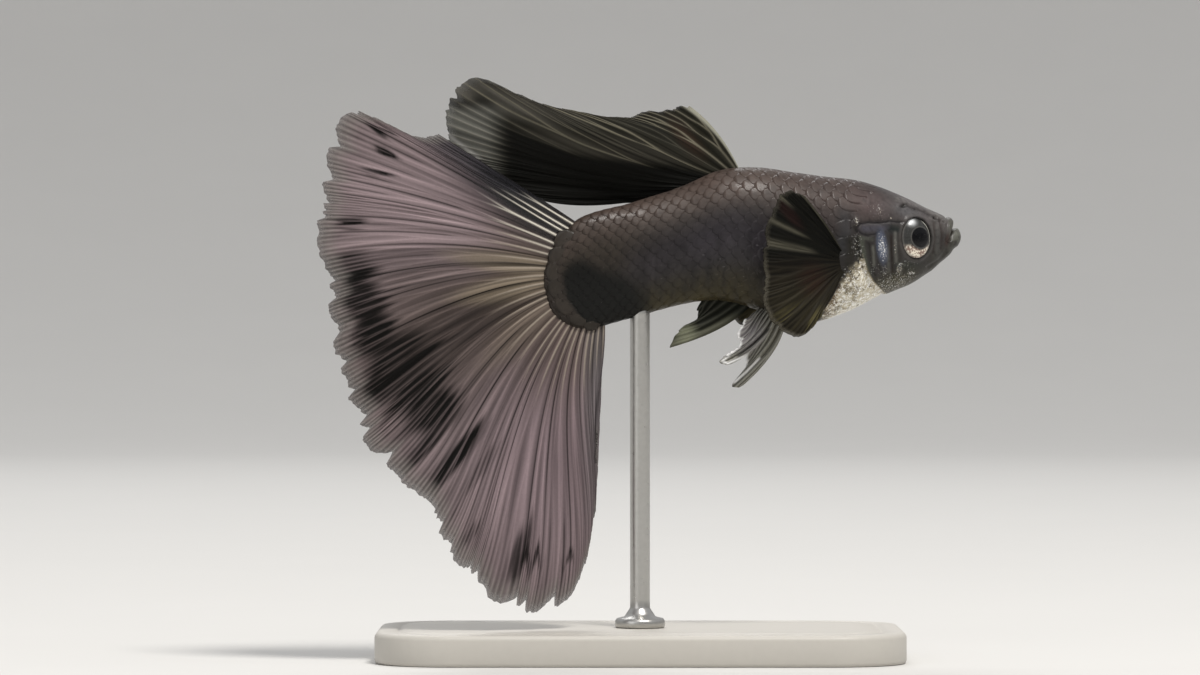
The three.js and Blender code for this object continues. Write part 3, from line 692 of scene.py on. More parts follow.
def scales(name, side, seed):
    """All the scales of one side as one mesh."""
    middles = scale_middles()
    rng = np.random.default_rng(seed)
    jitter = np.moveaxis(rng.uniform(-1.0, 1.0, (len(middles), 4)), 1, 0)[..., None, None]
    n = SCALE_GRID + 1
    a, b = np.meshgrid(np.linspace(-1.0, 1.0, n), np.linspace(-1.0, 1.0, n), indexing="ij")
    # a runs from the hidden front to the free rear edge, which is a half circle.
    round_part = np.clip((a + 0.1) / 1.1, 0.0, 1.0)
    wide = b * np.sqrt(np.maximum(1.0 - round_part**2 * 0.96, 0.0))
    middle_t, middle_share = np.moveaxis(middles, 1, 0)[..., None, None]
    half_long = scale_pitch(middle_t) * 0.98
    t = middle_t - half_long * (a + 0.06 * (1.0 - wide**2) * (a > 0)) + 0.03 * jitter[0]
    t = np.maximum(t, TAIL_T + 0.02)
    share = middle_share + wide * 1.12 / SCALE_ROWS + 0.002 * jitter[1]
    angle = angle_at(t, share)
    if side < 0:
        angle = math.pi - angle
    base = body_point(t, angle)
    # The scales lie flatter towards the head and over the stem's end.
    flat_part = ramp(t, -1.0, 7.0)
    rise = ((a + 1.0) / 2.0) ** 1.2 * (1.0 - 0.1 * wide**2)
    height = lerp(-0.022, -0.004, flat_part) + lerp(0.044, 0.024, flat_part) * rise
    height = height * lerp(0.6, 1.0, ramp(t, TAIL_T, 1.0)) + np.maximum(relief(base), -0.1)
    rough = 0.0015 * noise(base, 0.3, 21)
    normal = outward(body_point, t, angle)
    top = base + normal * (height + rough)[..., None]
    low = base + normal * (height - SCALE_THICK)[..., None]
    # Each scale has a darker rear edge, strongest over the rear of the body.
    colour, specks = np.split(body_paint(base), [3], axis=-1)
    edge = ramp(a, 0.6, 0.3) * lerp(0.6, 1.0, smooth(0.5 + noise(base, 1.3, 22)))
    strong = 0.6 * Canvas(right_side(base)).blob(*SCALE_EDGES)
    tick = rng.uniform(0.0, 1.0, len(middles))[:, None, None] ** 2 * ramp(np.abs(wide), 0.8, -0.4)
    dark = np.maximum(strong, lerp(0.34, 0.16, ramp(t, 4.0, 5.0)) * tick)
    colour = colour * (1.0 + 0.06 * jitter[3])[..., None]
    colour = np.concatenate([tint(colour, colour * 0.35, edge * dark), specks], -1)
    lobes = tail_lobes(side, a, wide, rng)
    top, low, colour = (np.concatenate(pair) for pair in zip((top, low, colour), lobes))
    count = len(top)
    one, spots, _ = sheet_faces(n, n)
    if side < 0:
        one = one[:, ::-1]
    points = np.concatenate([top.reshape(count, -1, 3), low.reshape(count, -1, 3)], 1)
    tones = np.tile(colour.reshape(count, -1, 4), (1, 2, 1))
    faces = (one[None] + (np.arange(count) * 2 * n * n)[:, None, None]).reshape(-1, 4)
    # On the bake map each scale is a small patch at its own place on the unrolled skin.
    u = np.append((middles[:, 0] - TAIL_T) / MAP_LENGTH, np.full(len(TAIL_LOBES), 0.95))
    v = np.append(middles[:, 1] * 0.94 + 0.03, np.linspace(0.05, 0.95, len(TAIL_LOBES)))
    patch = np.tile(np.stack([b, a], -1).reshape(-1, 2) * SCALE_PATCH, (2, 1))
    corner_uvs = (np.stack([u, v], -1)[:, None] + patch[None]).reshape(-1, 2)[faces.ravel()]
    piece = mesh_piece(name, swim(points.reshape(-1, 3)), faces.tolist(), tones.reshape(-1, 4), corner_uvs)
    # The thin edge of each scale is shaded flat, so that its top keeps its own shading.
    soft = np.ones((count, len(one)), bool)
    soft[:, 2 * len(spots) :] = False
    piece.data.polygons.foreach_set("use_smooth", soft.ravel())
    return settle(piece, "body_skin")


scale_pieces = [scales("scales_right", -1, 5), scales("scales_left", 1, 6)]


# Fins.
BAKE_SHEET = (0.98, 0.48)  # the share of the bake map that each face of a fin takes
BAKE_EDGE = 0.01


def margin(corners):
    """A fin's margin: a smooth curve through its corners, evenly by length."""
    points = np.array(corners, float)
    all_points = np.vstack([2 * points[0] - points[1], points, 2 * points[-1] - points[-2]])
    runs = []
    for i in range(1, len(all_points) - 2):
        p0, p1, p2, p3 = all_points[i - 1 : i + 3]
        d0, d1, d2 = (np.linalg.norm(b - a) ** 0.5 for a, b in ((p0, p1), (p1, p2), (p2, p3)))
        leave = ((p1 - p0) / d0 - (p2 - p0) / (d0 + d1) + (p2 - p1) / d1) * d1
        arrive = ((p2 - p1) / d1 - (p3 - p1) / (d1 + d2) + (p3 - p2) / d2) * d1
        t = np.linspace(0.0, 1.0, 80, endpoint=False)[:, None]
        cubic = (2 * p1 - 2 * p2 + leave + arrive) * t**3
        square = (-3 * p1 + 3 * p2 - 2 * leave - arrive) * t**2
        runs.append(p1 + leave * t + square + cubic)
    line = np.vstack([*runs, points[-1:]])
    lengths = np.concatenate([[0.0], np.cumsum(np.linalg.norm(np.diff(line, axis=0), axis=1))])
    return lambda w: np.stack([np.interp(w * lengths[-1], lengths, line[:, k]) for k in range(2)], -1)


def torn(r, seed, lobes, depth, fringe, fine):
    """How far the margin stands out or is cut back, in millimetres: steep-sided lobes with a fringe."""
    rng = np.random.default_rng(seed)
    cut = np.zeros(len(r))
    for place in rng.uniform(0.0, r[-1], lobes):
        deep = depth * rng.uniform(0.3, 1.0)
        steep, gentle = rng.uniform(0.05, 0.16), rng.uniform(0.3, 0.9)
        gap = np.where(r < place, (place - r) / gentle, (r - place) / steep)
        cut = np.maximum(cut, deep * np.clip(1.0 - gap, 0.0, 1.0))
    tufts = noise_at(seed + 1, r * fine) + 0.6 * noise_at(seed + 2, r * fine * 2.3)
    return fringe * tufts - cut


def fin(name, slot, shape, paint_fin, side=0):
    """A fin as one closed sheet with branching rays raised on both faces.

    w goes across the fin from 0 to 1, r does so in rays, and v goes out along them. side is -1 or 1 for
    a fin of a pair. paint_fin(canvas) paints the sheet and gives its alpha.
    """
    count, rows = shape["rays"], shape["rows"]
    r = np.linspace(0.0, count, count * shape["per_ray"] + 1)
    rng = np.random.default_rng(shape["seed"])
    shift = np.concatenate([[0.0], rng.uniform(-0.3, 0.3, count - 1), [0.0]])
    w = (r + np.interp(r, np.arange(count + 1), shift)) / count
    root, tip = shape["root"](w), margin(shape["margin"])(w)
    start, end = np.radians(evenly(*shape["headings"])(w)).T
    length = np.linalg.norm(tip - root, axis=-1)
    pull = (length / 3.0)[:, None]
    after_root = root + pull * np.stack([np.cos(start), np.sin(start)], -1)
    before_tip = tip - pull * np.stack([np.cos(end), np.sin(end)], -1)
    v, r = np.meshgrid(np.linspace(0.0, 1.0, rows + 1), r, indexing="ij")
    u = (v * (1.0 + torn(r[0], **shape["tears"]) / length))[..., None]
    flat = (1 - u) ** 3 * root + 3 * (1 - u) ** 2 * u * after_root
    flat = flat + 3 * (1 - u) * u**2 * before_tip + u**3 * tip
    w = np.broadcast_to(w, r.shape)
    y = shape["across"](w, np.clip(u[..., 0], 0.0, 1.0)) * (side or 1)
    middle = np.stack([flat[..., 0], y, flat[..., 1]], -1)
    along = np.gradient(middle, axis=1)
    spacing = np.linalg.norm(along, axis=-1) * shape["per_ray"]
    # Distance from the nearest ray, folded again at each fork, and the rays' spacing there.
    distance = np.abs(r % 1.0 - 0.5)
    ray = np.minimum(r.astype(int), count - 1)
    local = np.ones(r.shape)
    for level, (fork, spread) in enumerate(shape["forks"]):
        opened = ramp(v, fork + rng.uniform(-0.07, 0.07, count)[ray], spread)
        distance = np.abs(distance - 0.5 ** (level + 2) * opened)
        local = local * lerp(1.0, 0.5, opened)
    across_ray = np.clip(distance / local, 0.0, 0.5)
    rod = hump(distance * spacing, lerp(*shape["ray"], v))
    crest = lerp(rod, np.cos(math.pi * across_ray) ** 2, 0.5)
    gap = hump((0.5 - across_ray) * local * spacing, 0.06)
    valley = hump(np.minimum(r % 1.0, 1.0 - r % 1.0) * spacing, 0.07)
    # Folds between groups of rays.
    bend = rng.uniform(0.2, 1.0, count)[ray]
    fold = np.cos(2 * math.pi * r) * -bend * shape["pleat"] * smooth(v * 6.0) * lerp(1.0, 0.3, v)
    fold = fold + shape["swell"] * noise_at(shape["seed"], r * 0.45, v * 1.6) * smooth(v * 3.0)
    normal = unit(np.cross(along, np.gradient(middle, axis=0)))
    middle = middle + normal * fold[..., None]
    half = lerp(*shape["thickness"], v) / 2.0 + shape["ridge"] * crest * lerp(1.0, 0.55, v)
    front = middle + normal * half[..., None]
    back = middle - normal * half[..., None]
    at = Canvas(
        right_side(middle) if side else middle, shape["tone"],
        w=w, v=v, ray=ray, crest=crest, rod=rod, bend=bend,
        gap=gap * np.clip(0.5 + noise_at(61, r * 7.0, v * 1.3), 0.0, 1.0),
        valley=valley * np.clip(0.6 + noise_at(62, r * 1.5, v * 2.5), 0.0, 1.0),
        streak=noise_at(shape["seed"] + 1, r * 3.0, v * 2.5),
        thread=noise_at(shape["seed"] + 2, r * 9.0, v * 1.8),
    )
    alpha = paint_fin(at)
    tones = np.tile(with_alpha(at.colour, alpha).reshape(-1, 4), (2, 1))
    columns = r.shape[1]
    faces, spots, rim = sheet_faces(rows + 1, columns)
    uv = spots / (rows, columns - 1) * BAKE_SHEET + BAKE_EDGE
    place = rim / (rows, columns - 1) * BAKE_SHEET + BAKE_EDGE
    beyond = np.roll(place, -1, 0)
    uvs = np.concatenate([uv, uv[:, ::-1] + (0.0, 0.5), np.stack([place, place, beyond, beyond], 1)])
    # The front face's order of corners follows the sheet's normal.
    a, b, c = front.reshape(-1, 3)[faces[0][:3]]
    if np.dot(np.cross(b - a, c - b), normal[0, 0]) < 0:
        faces, uvs = faces[:, ::-1], uvs[:, ::-1]
    points = swim(np.concatenate([front.reshape(-1, 3), back.reshape(-1, 3)]))
    piece = mesh_piece(name + "_look", points, faces.tolist(), tones, uvs.reshape(-1, 2))
    return settle(piece, slot, name)


TAIL_HUB = (600.0, 285.0)  # where the tail fin's rays come from, in pixels
CAUDAL_CAST = [((500, 172), (110, 22), 36, 0.7, (60, 61, 66), 0.8)]
# The first is painted shade over the middle of the fin, where its folds are deepest. The last three are pale
# bands of open membrane in the middle of the fin near its root.
CAUDAL_TONES = [
    ((450, 330), (100, 70), -30, 0.8, (46, 40, 35), 0.7),
    ((425, 205), (90, 48), 10, 0.8, (95, 84, 86), 0.7),
    ((545, 470), (64, 110), 10, 0.8, (86, 75, 78), 0.7),
    ((598, 400), (14, 120), 0, 0.8, (62, 62, 63), 0.6),
    ((505, 262), (56, 10), 8, 0.5, (92, 84, 72), 0.6),
    ((505, 289), (50, 12), -10, 0.5, (88, 80, 68), 0.6),
    ((520, 330), (50, 14), -45, 0.6, (82, 74, 66), 0.4),
]
CAUDAL_WINDOW = ((524, 199), (92, 27), 37, 0.7)
# Where the tail fin's folds are deepest and their painted shade is darkest.
CAUDAL_DEEP_SHADE = ((450, 325), (100, 66), -30, 0.8)
# The tail fin's black patches: middle and reach in pixels, turn, and how dark.
CAUDAL_PATCHES = [
    ((350, 268), (30, 17), -8, 1.0),
    ((345, 222), (18, 5), -8, 1.0),
    ((358, 302), (22, 26), -25, 0.95),
    ((368, 336), (24, 20), -35, 1.0),
    ((398, 360), (36, 24), -38, 1.0),
    ((374, 391), (28, 12), -35, 1.0),
    ((412, 394), (40, 16), -38, 1.0),
    ((434, 408), (26, 23), -45, 1.0),
    ((440, 340), (52, 24), -38, 0.42),
    ((480, 318), (40, 16), -30, 0.4),
    ((452, 462), (46, 9), -50, 1.0),
    ((420, 452), (34, 6), -48, 0.95),
    ((480, 470), (30, 6), -55, 0.5),
    ((470, 535), (14, 6), -50, 0.7),
    ((380, 130), (11, 5), 25, 1.0),
    ((381, 150), (11, 4), 25, 1.0),
    ((376, 172), (13, 5), 10, 1.0),
    ((531, 560), (11, 10), 0, 0.9),
    ((567, 562), (6, 6), 0, 0.85),
    ((517, 560), (8, 38), 18, 0.85),
]
# Painted shade in the tail fin's folds.
PAINTED_FOLD_SHADE = (12, 10, 9)


def caudal_paint(at):
    v, crest, thread = at.v, at.crest, at.thread
    at.marks(CAUDAL_CAST)
    at.lay((56, 48, 41), ramp(v, 0.45, -0.3) * 0.8)
    at.marks(CAUDAL_TONES)
    # A dark clear window at the top of the root, crossed by bright rays.
    window = at.blob(*CAUDAL_WINDOW)
    at.lay((15, 16, 19), window * 0.93)
    # Painted shade in the folds between the rays, as deep as each fold, painted light on the ridges along
    # the rays, and the fine lines of each ray.
    deep = at.blob(*CAUDAL_DEEP_SHADE)
    at.vary(1.0 + (0.36 + 0.2 * deep) * thread + 0.16 * at.streak)
    at.colour = tint(at.colour, at.colour * 1.7, crest * 0.6)
    at.lay(PAINTED_FOLD_SHADE, at.gap * (0.85 + 0.15 * deep) * ramp(v, 0.12, 0.15))
    at.lay(PAINTED_FOLD_SHADE, at.valley * (0.35 + 0.65 * at.bend))
    at.lay((122, 114, 104), at.rod * ramp(v, 0.34, -0.2) * 0.75)
    at.lay((176, 172, 162), window * at.rod * ramp(v, 0.42, -0.25) * 0.9)
    # Black patches, drawn out along the rays and crossed by paler ones.
    streaky = np.clip(1.1 - 0.6 * crest + 0.8 * thread, 0.2, 1.0)
    out_x, out_y = at.px - TAIL_HUB[0], at.py - TAIL_HUB[1]
    push = (15.0 * thread + 6.0 * at.streak) / np.maximum(np.hypot(out_x, out_y), 1.0)
    moved = at.px + push * out_x, at.py + push * out_y
    for centre, reach, turn, dark in CAUDAL_PATCHES:
        at.lay((8, 7, 6), blob(*moved, centre, reach, turn) * dark * streaky)
    # The margin is paler and clearer, with light ray tips.
    hem = ramp(v, 0.90, 0.08)
    at.lay((76, 72, 70), hem * 0.6)
    at.lay((112, 108, 104), hem * crest * 0.6)
    return 1.0 - 0.45 * ramp(v, 0.95, 0.05) - 0.2 * window * (1.0 - crest)


DORSAL_TONES = [
    ((703, 136), (30, 22), 55, 0.7, (18, 17, 10), 0.8),
    ((686, 138), (24, 8), 50, 0.7, (34, 24, 18), 0.7),
    ((600, 147), (70, 11), 10, 0.7, (44, 42, 37), 0.9),
    ((503, 99), (70, 13), 17, 0.7, (64, 62, 57), 0.95),
]
DORSAL_HOLLOW = [((484, 104), (14, 9), 40, 0.7, BLACK, 0.8)]
DORSAL_REAR = [([(441, 129), (452, 138), (464, 147), (479, 158)], 1.8, (120, 119, 116), 0.8)]
# The lower edge of the back fin's lit band.
DORSAL_SHADE = [
    (720, 176), (672, 165), (643, 163), (595, 157), (566, 150), (538, 139), (511, 129), (480, 112),
]
# How bright each of the back fin's rays is, from the front.
DORSAL_RAYS = np.array([0.55, 0.75, 0.15, 0.7, 0.1, 0.65, 0.2, 0.3, 0.1, 0.1, 0.05])


def dorsal_paint(at):
    at.marks(DORSAL_TONES)
    at.vary(1.0 + 0.4 * at.thread + 0.15 * at.streak)
    at.lay((60, 59, 54), at.crest * 0.22)
    at.lay(BLACK, at.gap * 0.7)
    # The dark hollow near the tip and everything below the lit band is black.
    at.marks(DORSAL_HOLLOW)
    shade = smooth(0.5 - at.beside(DORSAL_SHADE) / 9.0) * ramp(at.px, 486.0, 28.0)
    at.lay(BLACK, shade * 0.97)
    tip = ramp(at.px, 512.0, -34.0) * ramp(at.py, 100.0, 14.0) * (1.0 - 0.8 * shade)
    at.lay((66, 66, 62), tip * 0.9, 1.0 + 0.4 * at.thread)
    at.lay((104, 103, 98), tip * at.crest * 0.6)
    bright = DORSAL_RAYS[at.ray] * at.rod * (1.0 - shade) * (0.6 + 0.4 * smooth(at.v * 2.0))
    at.lay((104, 100, 86), bright * 0.8)
    at.lay((118, 117, 106), ramp(at.w, 0.022, -0.016) * 0.95)
    at.marks(DORSAL_REAR)
    return 1.0 - 0.35 * ramp(at.v, 0.94, 0.06)


PECTORAL_TONES = [
    ((800, 306), (34, 22), 0, 0.8, (30, 27, 18), 0.7),
    ((812, 280), (12, 14), 0, 0.8, (32, 17, 12), 0.5),
    ((788, 212), (18, 5), 50, 0.7, (26, 13, 12), 0.7),
]
PECTORAL_BOTTOM = ((802, 318), (24, 12), 0, 0.6)
# The breast fins' light wedges of membrane: place and half width along the margin, and where each begins.
PECTORAL_WEDGES = [(0.012, 0.01, 0.0), (0.13, 0.008, 0.75), (0.245, 0.012, 0.45), (0.35, 0.019, 0.32)]


def pectoral_paint(at):
    low = ramp(at.py, 250.0, 24.0)
    at.lay((17, 14, 9), low * 0.9)
    at.marks(PECTORAL_TONES)
    at.vary(1.0 + 0.35 * at.thread + 0.2 * at.streak)
    at.lay((44, 41, 33), at.crest * (0.04 + 0.26 * low))
    at.lay((5, 5, 4), at.gap * 0.7)
    for place, width, begin in PECTORAL_WEDGES:
        wedge = hump(at.w - place, width) * ramp(at.v, begin, 0.25)
        at.lay((56, 54, 46), wedge * 0.95, 1.0 + 0.3 * at.thread)
    at.lay((66, 63, 55), ramp(at.v, 0.94, 0.05) * (0.3 + 0.5 * low))
    at.lay((60, 56, 36), at.blob(*PECTORAL_BOTTOM) * smooth(at.thread / 0.5) * 0.8)
    return 1.0 - 0.3 * ramp(at.v, 0.94, 0.06)


EDGE_WHITE = (196, 200, 206)
PELVIC_GLOW = [((748, 335), (14, 18), 0, 0.8, (116, 112, 116), 0.8)]
PELVIC_SEAM = [([(768, 330), (752, 345), (738, 356)], 1.6, (20, 19, 15), 0.8)]
PELVIC_EDGES = [
    ([(744, 321), (738, 333), (739, 346), (722, 361), (727, 364), (748, 355)], 1.3, EDGE_WHITE, 0.8),
    ([(768, 359), (757, 372), (746, 383)], 1.1, EDGE_WHITE, 0.8),
]


def pelvic_paint(at):
    at.marks(PELVIC_GLOW)
    at.lay((34, 30, 22), ramp(at.v, 0.35, -0.3) * 0.7)
    at.vary(1.0 + 0.3 * at.thread + 0.2 * at.streak)
    at.lay((140, 140, 134), at.crest * 0.45)
    at.lay((24, 22, 18), at.gap * 0.6)
    at.marks(PELVIC_SEAM)
    at.lay(EDGE_WHITE, ramp(at.v, 0.93, 0.05) * ramp(at.w, 0.2, 0.2) * 0.8)
    at.marks(PELVIC_EDGES)
    return 1.0 - 0.2 * (1.0 - at.crest) * ramp(at.v, 0.3, 0.3)


GONOPODIUM_TIP = [((685, 334), (10, 9), -30, 0.7, (92, 94, 78), 0.8)]


def gonopodium_paint(at):
    at.lay((60, 60, 50), ramp(at.w, 0.24, -0.14) * ramp(at.v, 0.1, 0.2))
    at.marks(GONOPODIUM_TIP)
    at.vary(1.0 + 0.25 * at.thread)
    at.lay((84, 84, 76), at.crest * 0.25)
    return 1.0


def caudal_root(w):
    angle = np.radians(lerp(112.0, 277.0, w + 0.07 * np.sin(math.pi * w)))
    return np.stack([-3.3 + 3.8 * np.cos(angle), 30.85 + 4.1 * np.sin(angle)], -1)


def caudal_across(w, v):
    waves = 0.75 * v * smooth(v) * np.sin(2 * math.pi * (2.4 * w + 0.1))
    curl = 0.9 * ramp(v, 0.55, 0.45) * np.sin(math.pi * w) ** 2
    return waves - curl


def dorsal_across(w, v):
    fold = 0.9 * np.sin(math.pi * smooth(w / 0.75)) * smooth(v * 1.6)
    return 2.3 * ramp(w, 0.3, 0.6) * smooth(v * 2.2) - fold


def pectoral_across(w, v):
    return 2.7 + 3.4 * (0.85 + 0.15 * np.sin(math.pi * w)) * np.sin(math.pi / 2 * v)


def pelvic_across(w, v):
    return 0.75 + 1.3 * v


def straight_root(from_xz, to_xz):
    return lambda w: lerp(np.array(from_xz), np.array(to_xz), w[:, None])


# A fin's shape. margin holds X and Z of its corners, and headings the rays' degrees at root and margin.
# across gives Y, forks where the rays split and over what length, and the pairs are at root and margin.
FIN = dict(thickness=(0.26, 0.07), ray=(0.11, 0.06), ridge=0.07, pleat=0.12, swell=0.0)
CAUDAL = FIN | dict(
    rays=26, per_ray=41, rows=45, seed=41, tone=(79, 70, 71),
    root=caudal_root,
    margin=[
        (-15.8, 41.8), (-18.2, 42.0), (-22.8, 43.4), (-24.9, 39.1), (-25.8, 34.6),
        (-24.9, 28.6), (-23.5, 21.8), (-21.9, 17.8), (-18.3, 13.6), (-14.6, 7.1),
        (-9.8, 4.0), (-5.4, 5.2), (-3.5, 11.2), (-3.4, 18.0),
    ],
    headings=[
        (147, 147), (150, 152), (157, 174), (171, 197), (186, 208), (202, 219),
        (220, 233), (236, 249), (247, 258), (258, 266), (272, 271),
    ],
    across=caudal_across,
    forks=[(0.22, 0.3), (0.42, 0.3), (0.62, 0.3)],
    ray=(0.085, 0.05), ridge=0.075, pleat=0.13, swell=0.16,
    tears=dict(seed=31, lobes=56, depth=1.2, fringe=0.1, fine=9.0),
)
DORSAL = FIN | dict(
    rays=11, per_ray=48, rows=70, seed=42, tone=(21, 20, 15),
    root=straight_root((8.1, 38.9), (4.6, 37.5)),
    margin=[
        (3.5, 44.6), (-0.4, 43.6), (-2.6, 43.3), (-8.1, 44.3), (-13.3, 46.4),
        (-14.5, 46.0), (-15.4, 43.1), (-15.0, 41.2), (-10.4, 37.9), (-6.8, 36.6),
    ],
    headings=[
        (112, 148), (130, 166), (148, 176), (160, 172), (168, 154), (173, 146),
        (177, 150), (181, 165), (184, 172), (188, 172), (192, 168),
    ],
    across=dorsal_across,
    forks=[(0.3, 0.3), (0.55, 0.3)],
    thickness=(0.24, 0.07), swell=0.1,
    tears=dict(seed=32, lobes=30, depth=0.8, fringe=0.1, fine=8.0),
)
PECTORAL = FIN | dict(
    rays=13, per_ray=26, rows=50, seed=43, tone=(5, 5, 3),
    root=straight_root((15.75, 32.3), (15.75, 31.0)),
    margin=[
        (11.9, 37.0), (10.5, 37.4), (9.3, 36.2), (8.6, 33.6), (8.4, 31.1),
        (8.7, 28.0), (9.5, 26.6), (10.6, 25.9), (11.8, 25.9), (13.2, 27.3),
    ],
    headings=[(122, 130), (140, 142), (160, 165), (180, 183), (200, 203), (220, 225), (240, 252)],
    across=pectoral_across,
    forks=[(0.4, 0.3), (0.7, 0.25)],
    swell=0.08,
    tears=dict(seed=33, lobes=14, depth=0.35, fringe=0.06, fine=4.0),
)
PELVIC = FIN | dict(
    rays=7, per_ray=24, rows=40, seed=44, tone=(82, 80, 72),
    across=pelvic_across,
    forks=[(0.45, 0.3)],
    thickness=(0.26, 0.08), ray=(0.11, 0.07), ridge=0.08, pleat=0.1,
    tears=dict(seed=34, lobes=5, depth=0.25, fringe=0.05, fine=3.0),
)
# The photograph shows more of the left pelvic fin, which stands further forward and lower.
PELVIC_RIGHT = PELVIC | dict(
    root=straight_root((10.9, 27.9), (9.3, 27.9)),
    margin=[(6.6, 23.5), (5.9, 23.8), (7.5, 25.1), (7.4, 26.1), (8.0, 27.2)],
    headings=[(262, 200), (240, 204), (218, 196), (200, 188), (190, 176)],
)
PELVIC_LEFT = PELVIC | dict(
    root=straight_root((11.9, 27.9), (10.2, 27.9)),
    margin=[(8.6, 21.7), (7.9, 21.8), (8.9, 23.2), (9.0, 24.8), (9.3, 26.7)],
    headings=[(280, 222), (262, 228), (240, 225), (222, 205), (208, 195)],
)
GONOPODIUM = FIN | dict(
    rays=5, per_ray=14, rows=40, seed=45, tone=(12, 13, 8),
    root=straight_root((9.0, 28.4), (5.2, 29.1)),
    margin=[(2.4, 24.9), (3.3, 26.5), (4.6, 27.2), (4.6, 28.0)],
    headings=[(228, 196), (222, 192), (215, 195), (225, 215), (250, 250)],
    across=lambda w, v: 0.0 * w,
    forks=[(0.5, 0.3)],
    thickness=(0.4, 0.2), ray=(0.12, 0.09), ridge=0.09, pleat=0.06,
    tears=dict(seed=35, lobes=3, depth=0.2, fringe=0.05, fine=2.0),
)

fins = [
    fin("caudal_fin", "tail_fin", CAUDAL, caudal_paint),
    fin("dorsal_fin", "dark_fin", DORSAL, dorsal_paint),
    fin("pectoral_fin_right", "dark_fin", PECTORAL, pectoral_paint, -1),
    fin("pelvic_fin_right", "pale_fin", PELVIC_RIGHT, pelvic_paint, -1),
    fin("pectoral_fin_left", "dark_fin", PECTORAL, pectoral_paint, 1),
    fin("pelvic_fin_left", "pale_fin", PELVIC_LEFT, pelvic_paint, 1),
    fin("gonopodium", "pale_fin", GONOPODIUM, gonopodium_paint),
]

# Eyes. u and w go forwards and up across the eye, from -1 to 1 at its widest ring.
EYE_RINGS, EYE_COLUMNS = 90, 120
PUPIL = dict(forward=0.13, long=0.56, tall=0.46)
PUPIL_BLACK, EYE_RIM = (3, 3, 5), (14, 14, 14)


def eye_piece(name, side):
    middle, out, ahead, up = eye_axes(side)
    polar = np.linspace(0.0, math.pi * 0.72, EYE_RINGS)[1:]
    turn = np.arange(EYE_COLUMNS) * 2 * math.pi / EYE_COLUMNS
    p, a = np.meshgrid(polar, turn, indexing="ij")
    rho, lifted = np.sin(p), np.cos(p)
    u, w = rho * np.cos(a), rho * np.sin(a)
    # The lens bulges a little through the pupil, whose edge is a fine groove.
    pupil = np.hypot((u - PUPIL["forward"]) / PUPIL["long"], w / PUPIL["tall"])
    front = p < math.pi / 2
    flat = np.where(front & (rho < 0.97), 0.93 + 0.07 * lifted, 1.0)
    bulge = np.where(front, 0.012 * smooth((1.0 - pupil) / 0.9) - 0.006 * hump(pupil - 1.02, 0.05), 0.0)
    deep = EYE["deep"] * (lifted * flat + bulge)
    points = middle + ahead * (EYE["long"] * u)[..., None] + up * (EYE["tall"] * w)[..., None]
    points = points + out * deep[..., None]
    at = Canvas(points, (40, 40, 39))
    grain = noise(points, 0.09, 52)
    at.vary(1.0 + 0.25 * noise_at(51, np.cos(a) * 9.0, np.sin(a) * 9.0, rho * 1.5) + 0.2 * grain)
    gold = ramp(w, -0.28, -0.25) * ramp(pupil, 1.15, 0.2) * ramp(rho, 0.97, -0.08)
    at.lay((120, 100, 90), gold * 0.8)
    at.lay((205, 188, 174), gold * ramp(grain, -0.15, 0.4) * 0.9)
    # A painted highlight on the iris, up and behind the pupil.
    painted_iris_highlight = hump(np.hypot((u + 0.33) / 1.3, w - 0.76), 0.17)
    at.lay((190, 192, 196), painted_iris_highlight * ramp(pupil, 1.1, 0.2) * 0.9)
    # Pale rings at the rim behind, round the pupil, and at the rim in front.
    at.lay((96, 94, 91), hump(rho - 0.9, 0.04) * ramp(u, 0.1, -0.5) * 0.5)
    at.lay((84, 83, 80), hump(pupil - 1.1, 0.05) * 0.4)
    at.lay((196, 192, 184), hump(rho - 0.87, 0.03) * ramp(u, 0.3, 0.3) * ramp(w, -0.75, 0.3) * 0.8)
    at.lay(EYE_RIM, ramp(rho, 0.92, 0.05) + np.where(front, 0.0, 1.0))
    at.lay(PUPIL_BLACK, ramp(pupil, 1.06, -0.06))
    tones = np.concatenate([at.colour.reshape(-1, 3), [paint(*PUPIL_BLACK), paint(*EYE_RIM)]])
    pole, bottom = middle + out * (EYE["deep"] * 1.05), middle - out * 0.5
    flat_points, faces, _ = capped(points, pole, bottom)
    if side > 0:
        faces = [face[::-1] for face in faces]
    uv = np.stack([u * p / rho, w * p / rho], -1).reshape(-1, 2) * 0.2
    uv = np.concatenate([uv, [[0.0, 0.0], [0.48, 0.0]]]) + 0.5
    order = [index for face in faces for index in face]
    piece = mesh_piece(name + "_look", swim(flat_points), faces, tones, uv[order])
    return settle(piece, "eye", name)


eyes = [eye_piece("eye_right", -1), eye_piece("eye_left", 1)]

# Stand.
BASE = dict(long=42.0, wide=24.0, tall=2.5, corner=6.0)
BASE_ROUND = 0.45
GROOVE = 0.12
ROD_RADIUS, ROD_TOP = 0.8, 28.3
FOOT = 1.6  # height of the rod's foot


def rings_about_z(profile, sides):
    """Rings of points from (radius, height) pairs."""
    turn = np.arange(sides) * 2 * math.pi / sides
    radius, height = np.array(profile, float).T[..., None]
    return np.stack([radius * np.cos(turn), radius * np.sin(turn), height + 0.0 * turn], -1)


def stand_rod():
    bottom = BASE["tall"] + 0.02
    foot = [(1.9, 0.0), (2.0, 0.1), (2.0, 0.55), (1.85, 0.75), (1.25, 0.9), (1.05, 1.2), (0.85, 1.5)]
    profile = [(radius, bottom + height) for radius, height in foot]
    profile += [(ROD_RADIUS, lerp(bottom + FOOT, ROD_TOP - 0.1, i / 40)) for i in range(41)]
    profile += [(ROD_RADIUS - 0.12, ROD_TOP)]
    points, faces, _ = capped(rings_about_z(profile, 64), (0.0, 0.0, bottom), (0.0, 0.0, ROD_TOP))
    return settle(mesh_piece("rod_look", points, faces, paint(150, 149, 146)), "rod", "stand_rod")


